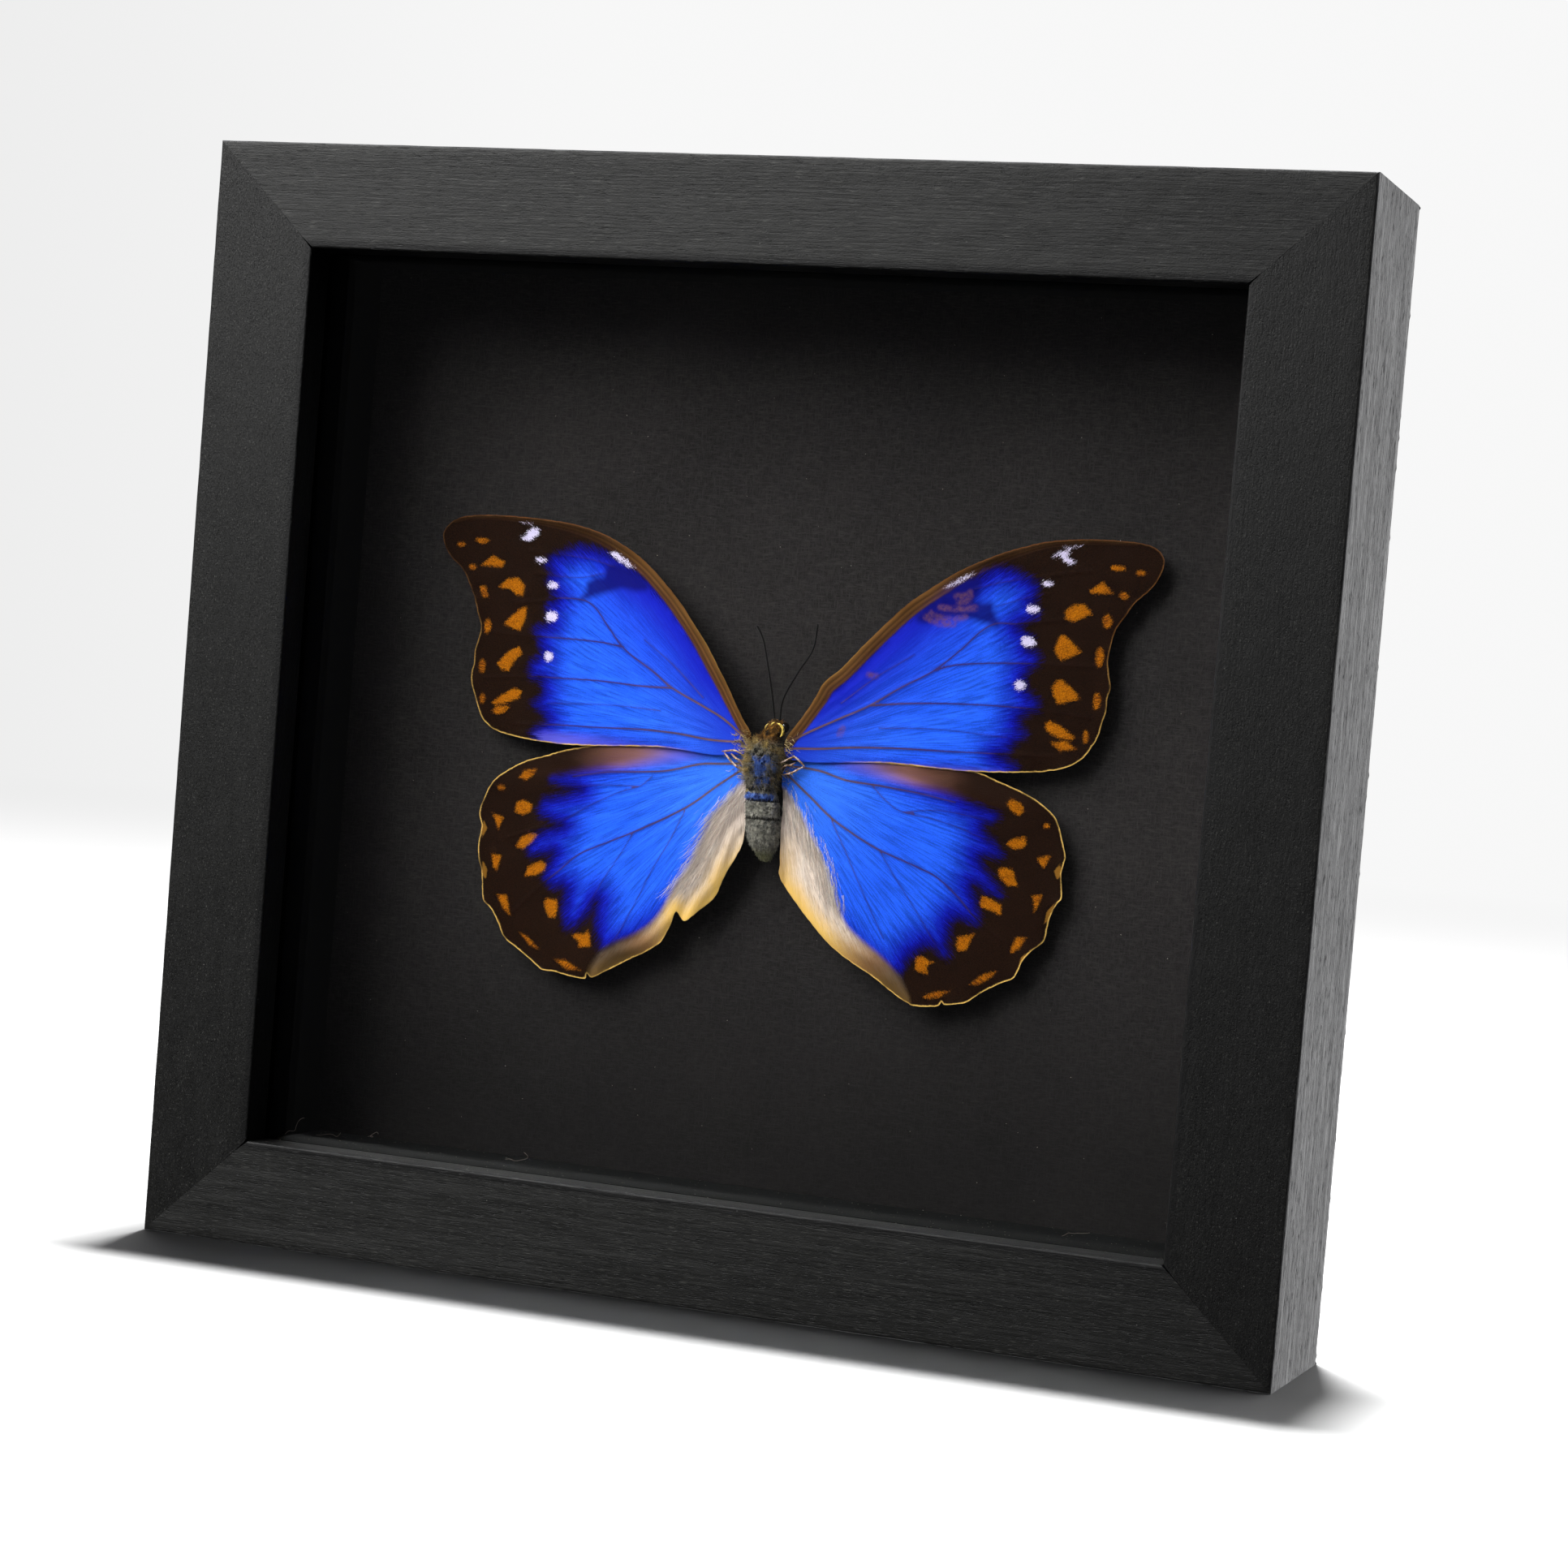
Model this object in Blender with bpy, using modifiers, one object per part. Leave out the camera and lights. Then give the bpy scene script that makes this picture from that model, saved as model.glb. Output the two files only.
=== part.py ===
"""Butterfly specimen pinned in a deep black box frame. Metres, +Z up, front towards -Y.

The frame stands on its bottom edge with its centre over the origin. Four mitred
rebated rails hold a glass pane, four spacer strips, a backing card and a back
board. The butterfly hangs on its pin between the glass and the card.
"""
import math

import bmesh
import bpy
from mathutils import Vector

MM = 0.001

# Frame
FRAME_WIDTH = 202.0 * MM
FRAME_HEIGHT = 188.6 * MM
FRAME_DEPTH = 32.3 * MM
SIDE_RAIL_FACE = 19.0 * MM
CROSS_RAIL_FACE = 17.8 * MM
LIP_DEPTH = 6.5 * MM
REBATE_WIDTH = 4.0 * MM
RAIL_EDGE_BEVEL = 0.4 * MM
GAP = 0.3 * MM
MITRE_TRIM = 0.75 * GAP

# Layers behind the lip
GLASS_THICKNESS = 2.0 * MM
SPACER_DEPTH = 17.1 * MM
CARD_THICKNESS = 1.2 * MM
BOARD_THICKNESS = 2.7 * MM

# Fittings on the back
POINT_SIZE = (5.0 * MM, 0.5 * MM, 14.0 * MM)
POINT_INSET = 34.0 * MM
HANGER_LENGTH = 44.0 * MM
HANGER_HEIGHT = 8.0 * MM
HANGER_THICKNESS = 0.8 * MM
HANGER_TEETH = 9
TOOTHED_SHARE = 0.7
SHOULDER_SHARE = 0.6
TOOTH_HEIGHT = 1.4 * MM
HANGER_DROP = 14.0 * MM

# Specimen: depths are measured back from the frame's front face
FOREWING_DEPTH = 19.6 * MM
HINDWING_DEPTH = 20.4 * MM
WING_THICKNESS = 0.4 * MM
WING_SLOPE = math.radians(4.0)
BODY_RING_RESOLUTION = 4
ANTENNA_RADIUS = 0.15 * MM
PIN_RADIUS = 0.25 * MM
PIN_HOLE_RADIUS = 0.55 * MM
PIN_X = -0.3 * MM
PIN_HEIGHT = -2.7 * MM
PIN_TOP_DEPTH = 16.3 * MM
PIN_HOLE_DEPTHS = (12.0 * MM, 26.0 * MM)

# Wing edges as x, height in mm from the middle of the frame
FOREWING_LEFT = (
    (-3.4, 0.2), (-10.0, 12.0), (-20.0, 24.0), (-30.0, 31.0), (-42.0, 34.2), (-55.0, 34.7),
    (-62.8, 33.6), (-65.2, 30.8), (-60.6, 24.6), (-56.8, 17.0), (-57.2, 10.0), (-57.1, 4.8),
    (-53.5, -1.7), (-42.0, -3.9), (-20.0, -3.0), (-9.0, -3.4), (-3.8, -2.6),
)
FOREWING_RIGHT = (
    (4.3, 0.2), (10.0, 10.2), (20.0, 21.2), (30.0, 29.3), (42.0, 35.0), (55.0, 37.1),
    (63.6, 36.7), (65.9, 33.6), (61.4, 26.9), (58.3, 20.5), (58.4, 13.0), (57.6, 6.2),
    (53.4, 0.0), (42.0, -2.2), (20.0, -2.4), (9.0, -3.1), (4.7, -2.6),
)
HINDWING_LEFT = (
    (-3.7, -3.9), (-15.0, -1.6), (-30.0, -3.2), (-43.0, -6.5), (-51.0, -10.9), (-54.0, -17.0),
    (-53.4, -25.0), (-51.6, -32.2), (-46.8, -38.4), (-38.6, -43.3), (-29.6, -43.9), (-22.0, -39.8),
    (-16.4, -36.0), (-14.6, -31.4), (-12.8, -32.0), (-7.8, -27.6), (-4.0, -20.4), (-3.0, -13.0),
    (-3.6, -6.8),
)
HINDWING_RIGHT = (
    (4.2, -3.9), (15.0, -1.6), (30.0, -2.4), (40.0, -3.8), (48.6, -7.4), (53.3, -14.6),
    (53.0, -22.4), (50.4, -30.0), (46.2, -36.0), (39.0, -40.5), (29.8, -42.2), (22.0, -38.3),
    (14.5, -33.8), (7.5, -27.0), (4.3, -23.0), (3.9, -15.0), (4.2, -7.0),
)

# Body stations from the tail to the head: x, depth, height and radius in mm
BODY_STATIONS = (
    (0.9, 21.9, -20.5, 0.5), (0.9, 21.7, -19.4, 1.7), (0.7, 21.3, -17.0, 2.6),
    (0.5, 20.9, -14.0, 2.85), (0.3, 20.4, -11.0, 2.8), (0.2, 19.9, -8.6, 2.3),
    (0.2, 19.6, -6.0, 2.8), (0.3, 19.4, -3.4, 3.1), (0.6, 19.6, -1.0, 2.5),
    (1.1, 20.2, 0.3, 1.5), (1.6, 20.7, 1.6, 1.75), (1.8, 20.9, 2.8, 1.3), (1.9, 21.0, 3.5, 0.4),
)

# Antennae from the head to the tip: x, depth and height in mm
ANTENNA_LEFT = (
    (1.4, 20.4, 3.9), (0.6, 20.6, 7.0), (-0.6, 20.9, 11.5), (-2.2, 21.4, 16.5), (-3.8, 21.8, 19.0),
)
ANTENNA_RIGHT = (
    (2.3, 20.4, 3.9), (2.6, 20.6, 7.0), (4.7, 20.9, 11.5), (6.9, 21.4, 15.6), (7.2, 21.9, 20.0),
)

MATERIALS = {
    "black_wood": ((0.045, 0.045, 0.048), 0.55, 0.0),
    "clear_glass": ((0.9, 0.95, 0.93), 0.05, 0.0),
    "black_card": ((0.012, 0.012, 0.014), 0.8, 0.0),
    "charcoal_card": ((0.03, 0.03, 0.032), 0.85, 0.0),
    "fibreboard": ((0.3, 0.19, 0.1), 0.8, 0.0),
    "zinc_steel": ((0.6, 0.6, 0.62), 0.4, 1.0),
    "brass_plate": ((0.65, 0.5, 0.24), 0.35, 1.0),
    "pin_steel": ((0.05, 0.05, 0.055), 0.35, 1.0),
    "blue_forewing": ((0.02, 0.11, 0.75), 0.45, 0.0),
    "blue_hindwing": ((0.03, 0.18, 0.8), 0.45, 0.0),
    "grey_body": ((0.2, 0.19, 0.17), 0.9, 0.0),
    "dark_antenna": ((0.03, 0.02, 0.015), 0.6, 0.0),
}

FRONT = -FRAME_DEPTH / 2
MIDDLE = FRAME_HEIGHT / 2


def fresh_collection(name):
    """An empty collection in the scene."""
    collection = bpy.data.collections.new(name)
    bpy.context.scene.collection.children.link(collection)
    return collection


def make_material(name):
    """The Principled material of one slot."""
    colour, roughness, metallic = MATERIALS[name]
    material = bpy.data.materials.new(name)
    material.use_nodes = True
    shader = material.node_tree.nodes["Principled BSDF"]
    shader.inputs["Base Color"].default_value = (*colour, 1.0)
    shader.inputs["Roughness"].default_value = roughness
    shader.inputs["Metallic"].default_value = metallic
    return material


def add_object(name, data, slot):
    """Puts data into the part as a named object wearing one material."""
    data.materials.clear()
    data.materials.append(materials[slot])
    obj = bpy.data.objects.new(name, data)
    part.objects.link(obj)
    return obj


def place(x_mm, depth_mm, height_mm):
    """A point from mm measured across, back from the front face and up from the middle."""
    return Vector((x_mm * MM, FRONT + depth_mm * MM, MIDDLE + height_mm * MM))


def add_box(name, low, high, slot):
    """A box between two opposite corners."""
    bm = bmesh.new()
    bmesh.ops.create_cube(bm, size=1.0)
    low, high = Vector(low), Vector(high)
    for vert in bm.verts:
        vert.co = (low + high) / 2 + vert.co * (high - low)
    mesh = bpy.data.meshes.new(name)
    bm.to_mesh(mesh)
    bm.free()
    return add_object(name, mesh, slot)


def add_rail(name, side, outward):
    """One mitred rail of the frame: a side rail or a cross rail, on the outward side."""
    face = SIDE_RAIL_FACE if side else CROSS_RAIL_FACE
    mitre = (CROSS_RAIL_FACE if side else SIDE_RAIL_FACE) / face
    length = FRAME_HEIGHT if side else FRAME_WIDTH
    reach = (FRAME_WIDTH if side else FRAME_HEIGHT) / 2
    middle = Vector((0.0, 0.0, MIDDLE))
    along = Vector((0, 0, 1)) if side else Vector((1, 0, 0))
    across = Vector((outward, 0, 0)) if side else Vector((0, 0, outward))
    profile = (
        (0.0, 0.0), (face, 0.0), (face, LIP_DEPTH), (face - REBATE_WIDTH, LIP_DEPTH),
        (face - REBATE_WIDTH, FRAME_DEPTH), (0.0, FRAME_DEPTH),
    )
    bm = bmesh.new()
    ring = []
    for inward, depth in profile:
        end = length / 2 - inward * mitre - MITRE_TRIM
        corner = middle + across * (reach - inward) + along * end
        ring.append(bm.verts.new((corner.x, FRONT + depth, corner.z)))
    near_end = bm.faces.new(ring)
    extruded = bmesh.ops.extrude_face_region(bm, geom=[near_end])["geom"]
    for corner in (item for item in extruded if isinstance(item, bmesh.types.BMVert)):
        corner.co -= along * 2 * along.dot(corner.co - middle)
    bmesh.ops.recalc_face_normals(bm, faces=bm.faces)
    mesh = bpy.data.meshes.new(name)
    bm.to_mesh(mesh)
    bm.free()
    rail = add_object(name, mesh, "black_wood")
    bevel = rail.modifiers.new("edge", "BEVEL")
    bevel.width = RAIL_EDGE_BEVEL
    bevel.segments = 2
    bevel.limit_method = "ANGLE"
    return rail


def add_outline(name, points, thickness, slot, smooth=True):
    """A thin plate cut to a closed outline of x, height points in metres."""
    curve = bpy.data.curves.new(name, "CURVE")
    curve.dimensions = "2D"
    curve.fill_mode = "BOTH"
    curve.extrude = thickness / 2
    curve.resolution_u = 4 if smooth else 1
    spline = curve.splines.new("BEZIER" if smooth else "POLY")
    spline.use_cyclic_u = True
    if smooth:
        spline.bezier_points.add(len(points) - 1)
        for knot, (x, height) in zip(spline.bezier_points, points):
            knot.co = (x, height, 0.0)
            knot.handle_left_type = "AUTO"
            knot.handle_right_type = "AUTO"
    else:
        spline.points.add(len(points) - 1)
        for knot, (x, height) in zip(spline.points, points):
            knot.co = (x, height, 0.0, 1.0)
    plate = add_object(name, curve, slot)
    plate.rotation_euler = (math.pi / 2, 0.0, 0.0)
    return plate


def add_wing(name, outline, depth, slot):
    """A wing blade sloping back from the body towards its tip."""
    points = [(x * MM, height * MM) for x, height in outline]
    wing = add_outline(name, points, WING_THICKNESS, slot)
    wing.rotation_euler.z = math.copysign(WING_SLOPE, points[0][0])
    wing.location = (0.0, FRONT + depth, MIDDLE)
    return wing


def tube_curve(name, stations, ring_resolution):
    """A round tube through x, depth, height, radius stations in mm."""
    curve = bpy.data.curves.new(name, "CURVE")
    curve.dimensions = "3D"
    curve.bevel_depth = MM
    curve.bevel_resolution = ring_resolution
    curve.resolution_u = 3
    curve.use_fill_caps = True
    spline = curve.splines.new("BEZIER")
    spline.bezier_points.add(len(stations) - 1)
    for knot, (x, depth, height, radius) in zip(spline.bezier_points, stations):
        knot.co = place(x, depth, height)
        knot.radius = radius
        knot.handle_left_type = "AUTO"
        knot.handle_right_type = "AUTO"
    return curve


def depth_cylinder(name, radius, front, back):
    """A mesh cylinder along the depth of the frame at the pin's place."""
    bm = bmesh.new()
    bmesh.ops.create_cone(
        bm, cap_ends=True, segments=16, radius1=radius, radius2=radius, depth=back - front
    )
    for vert in bm.verts:
        x, y, z = vert.co
        vert.co = (PIN_X + x, FRONT + (front + back) / 2 + z, MIDDLE + PIN_HEIGHT - y)
    mesh = bpy.data.meshes.new(name)
    bm.to_mesh(mesh)
    bm.free()
    return mesh


for old in list(bpy.data.objects):
    bpy.data.objects.remove(old, do_unlink=True)

part = fresh_collection("framed_butterfly")
cutters = fresh_collection("cutters")
materials = {name: make_material(name) for name in MATERIALS}

# Rails
add_rail("rail_top", side=False, outward=1)
add_rail("rail_bottom", side=False, outward=-1)
add_rail("rail_left", side=True, outward=-1)
add_rail("rail_right", side=True, outward=1)

# Glass, spacers, card and board, laid one behind another in the rebate
sheet_x = FRAME_WIDTH / 2 - SIDE_RAIL_FACE + REBATE_WIDTH - GAP
sheet_z = FRAME_HEIGHT / 2 - CROSS_RAIL_FACE + REBATE_WIDTH - GAP
glass_front = FRONT + LIP_DEPTH + GAP
spacer_front = glass_front + GLASS_THICKNESS + GAP
card_front = spacer_front + SPACER_DEPTH + GAP
board_front = card_front + CARD_THICKNESS + GAP
board_back = board_front + BOARD_THICKNESS


def add_sheet(name, front, thickness, slot):
    """A flat sheet that fills the rebate."""
    low = (-sheet_x, front, MIDDLE - sheet_z)
    high = (sheet_x, front + thickness, MIDDLE + sheet_z)
    return add_box(name, low, high, slot)


add_sheet("glass_pane", glass_front, GLASS_THICKNESS, "clear_glass")
add_sheet("backing_card", card_front, CARD_THICKNESS, "charcoal_card")
add_sheet("back_board", board_front, BOARD_THICKNESS, "fibreboard")

spacer_width = REBATE_WIDTH - 2 * GAP
spacer_back = spacer_front + SPACER_DEPTH
inner_x = sheet_x - spacer_width
inner_z = sheet_z - spacer_width
for name, side in (("spacer_left", -1), ("spacer_right", 1)):
    near, far = sorted((side * inner_x, side * sheet_x))
    low = (near, spacer_front, MIDDLE - sheet_z)
    high = (far, spacer_back, MIDDLE + sheet_z)
    add_box(name, low, high, "black_card")
for name, side in (("spacer_bottom", -1), ("spacer_top", 1)):
    near, far = sorted((side * inner_z, side * sheet_z))
    low = (-inner_x + GAP, spacer_front, MIDDLE + near)
    high = (inner_x - GAP, spacer_back, MIDDLE + far)
    add_box(name, low, high, "black_card")

# Flat points that hold the board in, and the hanger on the board
point_x = sheet_x - POINT_SIZE[0]
point_front = board_back + GAP
for row, z_side in (("lower", -1), ("upper", 1)):
    for column, x_side in (("left", -1), ("right", 1)):
        near, far = sorted((x_side * point_x, x_side * sheet_x))
        centre_z = MIDDLE + z_side * (FRAME_HEIGHT / 2 - POINT_INSET - POINT_SIZE[2])
        low = (near, point_front, centre_z - POINT_SIZE[2] / 2)
        high = (far, point_front + POINT_SIZE[1], centre_z + POINT_SIZE[2] / 2)
        add_box(f"point_{row}_{column}", low, high, "zinc_steel")

hanger_end = HANGER_LENGTH / 2
toothed_end = hanger_end * TOOTHED_SHARE
shoulder_x = hanger_end * SHOULDER_SHARE
shoulder_z = HANGER_HEIGHT * SHOULDER_SHARE
tooth_pitch = 2 * toothed_end / HANGER_TEETH
hanger_points = [(-hanger_end, 0.0)]
for tooth in range(HANGER_TEETH):
    start = tooth * tooth_pitch - toothed_end
    hanger_points.append((start, 0.0))
    hanger_points.append((start + tooth_pitch / 2, TOOTH_HEIGHT))
hanger_points += [(toothed_end, 0.0), (hanger_end, 0.0), (hanger_end, shoulder_z)]
hanger_points += [(shoulder_x, HANGER_HEIGHT), (-shoulder_x, HANGER_HEIGHT)]
hanger_points.append((-hanger_end, shoulder_z))
hanger = add_outline("hanger", hanger_points, HANGER_THICKNESS, "brass_plate", smooth=False)
hanger_z = FRAME_HEIGHT - CROSS_RAIL_FACE - HANGER_DROP
hanger.location = (0.0, board_back + GAP + HANGER_THICKNESS / 2, hanger_z)

# Wings
add_wing("forewing_left", FOREWING_LEFT, FOREWING_DEPTH, "blue_forewing")
add_wing("forewing_right", FOREWING_RIGHT, FOREWING_DEPTH, "blue_forewing")
add_wing("hindwing_left", HINDWING_LEFT, HINDWING_DEPTH, "blue_hindwing")
add_wing("hindwing_right", HINDWING_RIGHT, HINDWING_DEPTH, "blue_hindwing")

# Body, with the hole that the pin made, and the pin
body_tube = bpy.data.objects.new(
    "body_tube", tube_curve("body_tube", BODY_STATIONS, BODY_RING_RESOLUTION)
)
cutters.objects.link(body_tube)
bpy.context.view_layer.update()
body_mesh = bpy.data.meshes.new_from_object(
    body_tube.evaluated_get(bpy.context.evaluated_depsgraph_get())
)
bpy.data.objects.remove(body_tube, do_unlink=True)
bm = bmesh.new()
bm.from_mesh(body_mesh)
bmesh.ops.remove_doubles(bm, verts=bm.verts, dist=0.01 * MM)
for face in bm.faces:
    face.smooth = True
bm.to_mesh(body_mesh)
bm.free()
body = add_object("body", body_mesh, "grey_body")
pin_hole = bpy.data.objects.new(
    "pin_hole", depth_cylinder("pin_hole", PIN_HOLE_RADIUS, *PIN_HOLE_DEPTHS)
)
cutters.objects.link(pin_hole)
pin_hole.hide_render = True
pin_hole.display_type = "WIRE"
cut = body.modifiers.new("pin_hole", "BOOLEAN")
cut.operation = "DIFFERENCE"
cut.solver = "EXACT"
cut.object = pin_hole

pin_end = card_front - GAP - FRONT
pin_mesh = depth_cylinder("insect_pin", PIN_RADIUS, PIN_TOP_DEPTH, pin_end)
add_object("insect_pin", pin_mesh, "pin_steel")

# Antennae
for name, path in (("antenna_left", ANTENNA_LEFT), ("antenna_right", ANTENNA_RIGHT)):
    stations = [(x, depth, height, ANTENNA_RADIUS / MM) for x, depth, height in path]
    antenna = tube_curve(name, stations, 1)
    add_object(name, antenna, "dark_antenna")
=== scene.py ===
import math

import bmesh
import bpy
import numpy as np
from mathutils import Matrix, Vector, geometry, noise


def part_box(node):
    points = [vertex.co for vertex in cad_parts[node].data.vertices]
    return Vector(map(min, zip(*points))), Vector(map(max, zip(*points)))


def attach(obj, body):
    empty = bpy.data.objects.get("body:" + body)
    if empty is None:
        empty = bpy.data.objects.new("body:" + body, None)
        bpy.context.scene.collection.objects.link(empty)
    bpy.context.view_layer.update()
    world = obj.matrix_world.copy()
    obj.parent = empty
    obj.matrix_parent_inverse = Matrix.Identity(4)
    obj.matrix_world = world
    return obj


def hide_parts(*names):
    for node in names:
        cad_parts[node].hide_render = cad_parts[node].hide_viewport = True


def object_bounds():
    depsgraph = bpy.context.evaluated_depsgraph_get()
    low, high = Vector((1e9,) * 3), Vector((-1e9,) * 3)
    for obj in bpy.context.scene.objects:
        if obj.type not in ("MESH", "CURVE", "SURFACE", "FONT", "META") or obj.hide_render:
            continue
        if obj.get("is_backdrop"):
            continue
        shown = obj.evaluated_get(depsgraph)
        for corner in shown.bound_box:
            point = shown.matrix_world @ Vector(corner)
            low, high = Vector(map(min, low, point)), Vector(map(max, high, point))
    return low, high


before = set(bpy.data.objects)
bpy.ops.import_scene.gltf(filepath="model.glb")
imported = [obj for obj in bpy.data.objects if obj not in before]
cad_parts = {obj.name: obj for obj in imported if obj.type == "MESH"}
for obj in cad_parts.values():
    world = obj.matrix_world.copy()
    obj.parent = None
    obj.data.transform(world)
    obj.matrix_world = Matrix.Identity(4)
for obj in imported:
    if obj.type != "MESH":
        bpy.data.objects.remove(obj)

cad_low, cad_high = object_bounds()
MM = 0.001

# ---------------------------------------------------------------------------
# Table, backdrop and light
# The frame stands on a white sweep in front of bright white paper. Soft boxes
# light it from the high left front and from overhead; a third one whitens only
# the table and leaves a dark line of shadow along the foot.
# ---------------------------------------------------------------------------
scene = bpy.context.scene
scene.view_settings.view_transform = "Standard"
face_centre = Vector((0.0, cad_low.y, (cad_low.z + cad_high.z) / 2))

camera = bpy.data.objects.new("camera", bpy.data.cameras.new("camera"))
scene.collection.objects.link(camera)
scene.camera = camera
camera.data.lens = 78.63
camera.data.sensor_width = 36.0
camera.data.shift_x = -0.0985
camera.data.shift_y = 0.0727
yaw = Matrix.Rotation(math.radians(18.995), 4, "Z")
pitch = Matrix.Rotation(math.radians(90.0 - 2.978), 4, "X")
roll = Matrix.Rotation(math.radians(4.787), 4, "Z")
standpoint = face_centre + Vector((0.2178, -0.5167, 0.0057))
camera.matrix_world = Matrix.Translation(standpoint) @ yaw @ pitch @ roll


def tint(red, green, blue):
    """A linear colour from the 0 to 255 values a colour chart gives."""
    shares = (channel / 255.0 for channel in (red, green, blue))
    return (*(s / 12.92 if s < 0.04045 else ((s + 0.055) / 1.055) ** 2.4 for s in shares), 1.0)


def add_node(tree, kind, inputs=None, **settings):
    """Adds a node to a tree; an input that is itself a socket is linked."""
    made = tree.nodes.new(kind)
    for setting, value in settings.items():
        setattr(made, setting, value)
    for key, value in (inputs or {}).items():
        if isinstance(value, bpy.types.NodeSocket):
            tree.links.new(value, made.inputs[key])
        else:
            made.inputs[key].default_value = value
    return made


def sums(tree, operation, *values, clamp=False):
    """One step of arithmetic on values or sockets."""
    inputs = dict(enumerate(values))
    return add_node(tree, "ShaderNodeMath", inputs, operation=operation, use_clamp=clamp).outputs[0]


def times(tree, first, second, clamp=False):
    """The product of two values or sockets."""
    return sums(tree, "MULTIPLY", first, second, clamp=clamp)


def plus(tree, first, second):
    """The total of two values or sockets."""
    return sums(tree, "ADD", first, second)


def less(tree, first, second):
    """What the first value leaves when the second is taken from it."""
    return sums(tree, "SUBTRACT", first, second)


def rise(tree, value, low, high):
    """0 below low, 1 above high, and a smooth step between them."""
    inputs = {0: value, 1: low, 2: high}
    kind = "ShaderNodeMapRange"
    return add_node(tree, kind, inputs, interpolation_type="SMOOTHSTEP").outputs[0]


def fall(tree, value, low, high):
    """1 below low, 0 above high, and a smooth step between them."""
    return less(tree, 1.0, rise(tree, value, low, high))


def axis_of(tree, vector, axis):
    """One part of a vector: 0 across, 1 back, 2 up."""
    return add_node(tree, "ShaderNodeSeparateXYZ", {0: vector}).outputs[axis]


def blend(tree, share, first, second, mode="MIX"):
    """Mixes two colours."""
    inputs = {0: share, 6: first, 7: second}
    settings = {"data_type": "RGBA", "blend_type": mode}
    return add_node(tree, "ShaderNodeMix", inputs, **settings).outputs[2]


def ramp(tree, value, *stops):
    """A colour ramp through (place, colour) stops."""
    made = add_node(tree, "ShaderNodeValToRGB", {0: value})
    band = made.color_ramp
    while len(band.elements) < len(stops):
        band.elements.new(0.5)
    for element, (place, colour) in zip(band.elements, stops):
        element.position = place
        element.color = colour
    return made.outputs[0]


def spread(tree, vector, scale):
    """Stretches coordinates by a scale for each axis."""
    return add_node(tree, "ShaderNodeMapping", {"Vector": vector, "Scale": scale}).outputs[0]


def mottle(tree, vector, scale=1.0, detail=2.0, roughness=0.5):
    """Soft noise between 0 and 1."""
    inputs = {"Vector": vector, "Scale": scale, "Detail": detail, "Roughness": roughness}
    return add_node(tree, "ShaderNodeTexNoise", inputs).outputs[0]


def new_group(name, takes, gives):
    """An empty shader group with named inputs and outputs; returns it with its two ends."""
    group = bpy.data.node_groups.new(name, "ShaderNodeTree")
    for label, kind, value in takes:
        socket = group.interface.new_socket(label, in_out="INPUT", socket_type="NodeSocket" + kind)
        if value is not None:
            socket.default_value = value
    for label, kind in gives:
        group.interface.new_socket(label, in_out="OUTPUT", socket_type="NodeSocket" + kind)
    entry = group.nodes.new("NodeGroupInput").outputs
    leave = group.nodes.new("NodeGroupOutput").inputs
    return group, entry, leave


def use_group(tree, group, inputs):
    """Places a shader group in a material with its own values."""
    return add_node(tree, "ShaderNodeGroup", inputs, node_tree=group).outputs


def fill(group, leave, results):
    """Links the results of a group to its outputs."""
    for label, value in results.items():
        group.links.new(value, leave[label])


FLOOR_SIZE = 16.0
wall_paper, entry, leave = new_group(
    "wall_paper", (("Across", "Float", 0.0),), (("Colour", "Color"),)
)
lit_part = rise(wall_paper, entry["Across"], -0.62, -0.4)
colour = blend(wall_paper, lit_part, (0.84, 0.84, 0.84, 1.0), (0.935, 0.935, 0.935, 1.0))
fill(wall_paper, leave, {"Colour": colour})

bpy.ops.mesh.primitive_plane_add(size=FLOOR_SIZE, location=(0.0, 0.0, 0.0))
floor = bpy.context.object
floor.name = "table_sweep"
floor.visible_glossy = False
floor.visible_transmission = False
sweep = bpy.data.materials.new("table_sweep")
sweep.use_nodes = True
tree = sweep.node_tree
paper = tree.nodes["Principled BSDF"]
paper.inputs["Roughness"].default_value = 0.8
paper.inputs["Specular IOR Level"].default_value = 0.2
where = add_node(tree, "ShaderNodeTexCoord").outputs["Object"]
reach = add_node(tree, "ShaderNodeVectorMath", {0: where}, operation="LENGTH").outputs["Value"]
outlook = add_node(tree, "ShaderNodeVectorMath", {0: where, 1: standpoint}, operation="SUBTRACT")
outlook = add_node(tree, "ShaderNodeVectorMath", {0: outlook.outputs[0]}, operation="NORMALIZE")
across = axis_of(tree, outlook.outputs[0], 0)
wall = use_group(tree, wall_paper, {"Across": across})["Colour"]
glow = add_node(tree, "ShaderNodeEmission", {"Color": wall, "Strength": 1.0})
sight = add_node(tree, "ShaderNodeLightPath").outputs["Is Camera Ray"]
shade = blend(tree, sight, (0.042, 0.042, 0.042, 1.0), (0.3, 0.3, 0.3, 1.0))
tree.links.new(shade, paper.inputs["Base Color"])
share = times(tree, rise(tree, reach, 0.25, 2.2), sight)
mixed = add_node(tree, "ShaderNodeMixShader", {0: share, 1: paper.outputs[0], 2: glow.outputs[0]})
tree.links.new(mixed.outputs[0], tree.nodes["Material Output"].inputs[0])
floor.data.materials.append(sweep)
floor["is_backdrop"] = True

studio = bpy.data.worlds.new("studio")
scene.world = studio
studio.use_nodes = True
tree = studio.node_tree
way = add_node(tree, "ShaderNodeTexCoord").outputs["Generated"]
lean = add_node(tree, "ShaderNodeVectorMath", {0: way, 1: (0.1, 0.99, 0.05)}, operation="DOT_PRODUCT")
level = rise(tree, lean.outputs["Value"], 0.0, 0.8)
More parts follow.
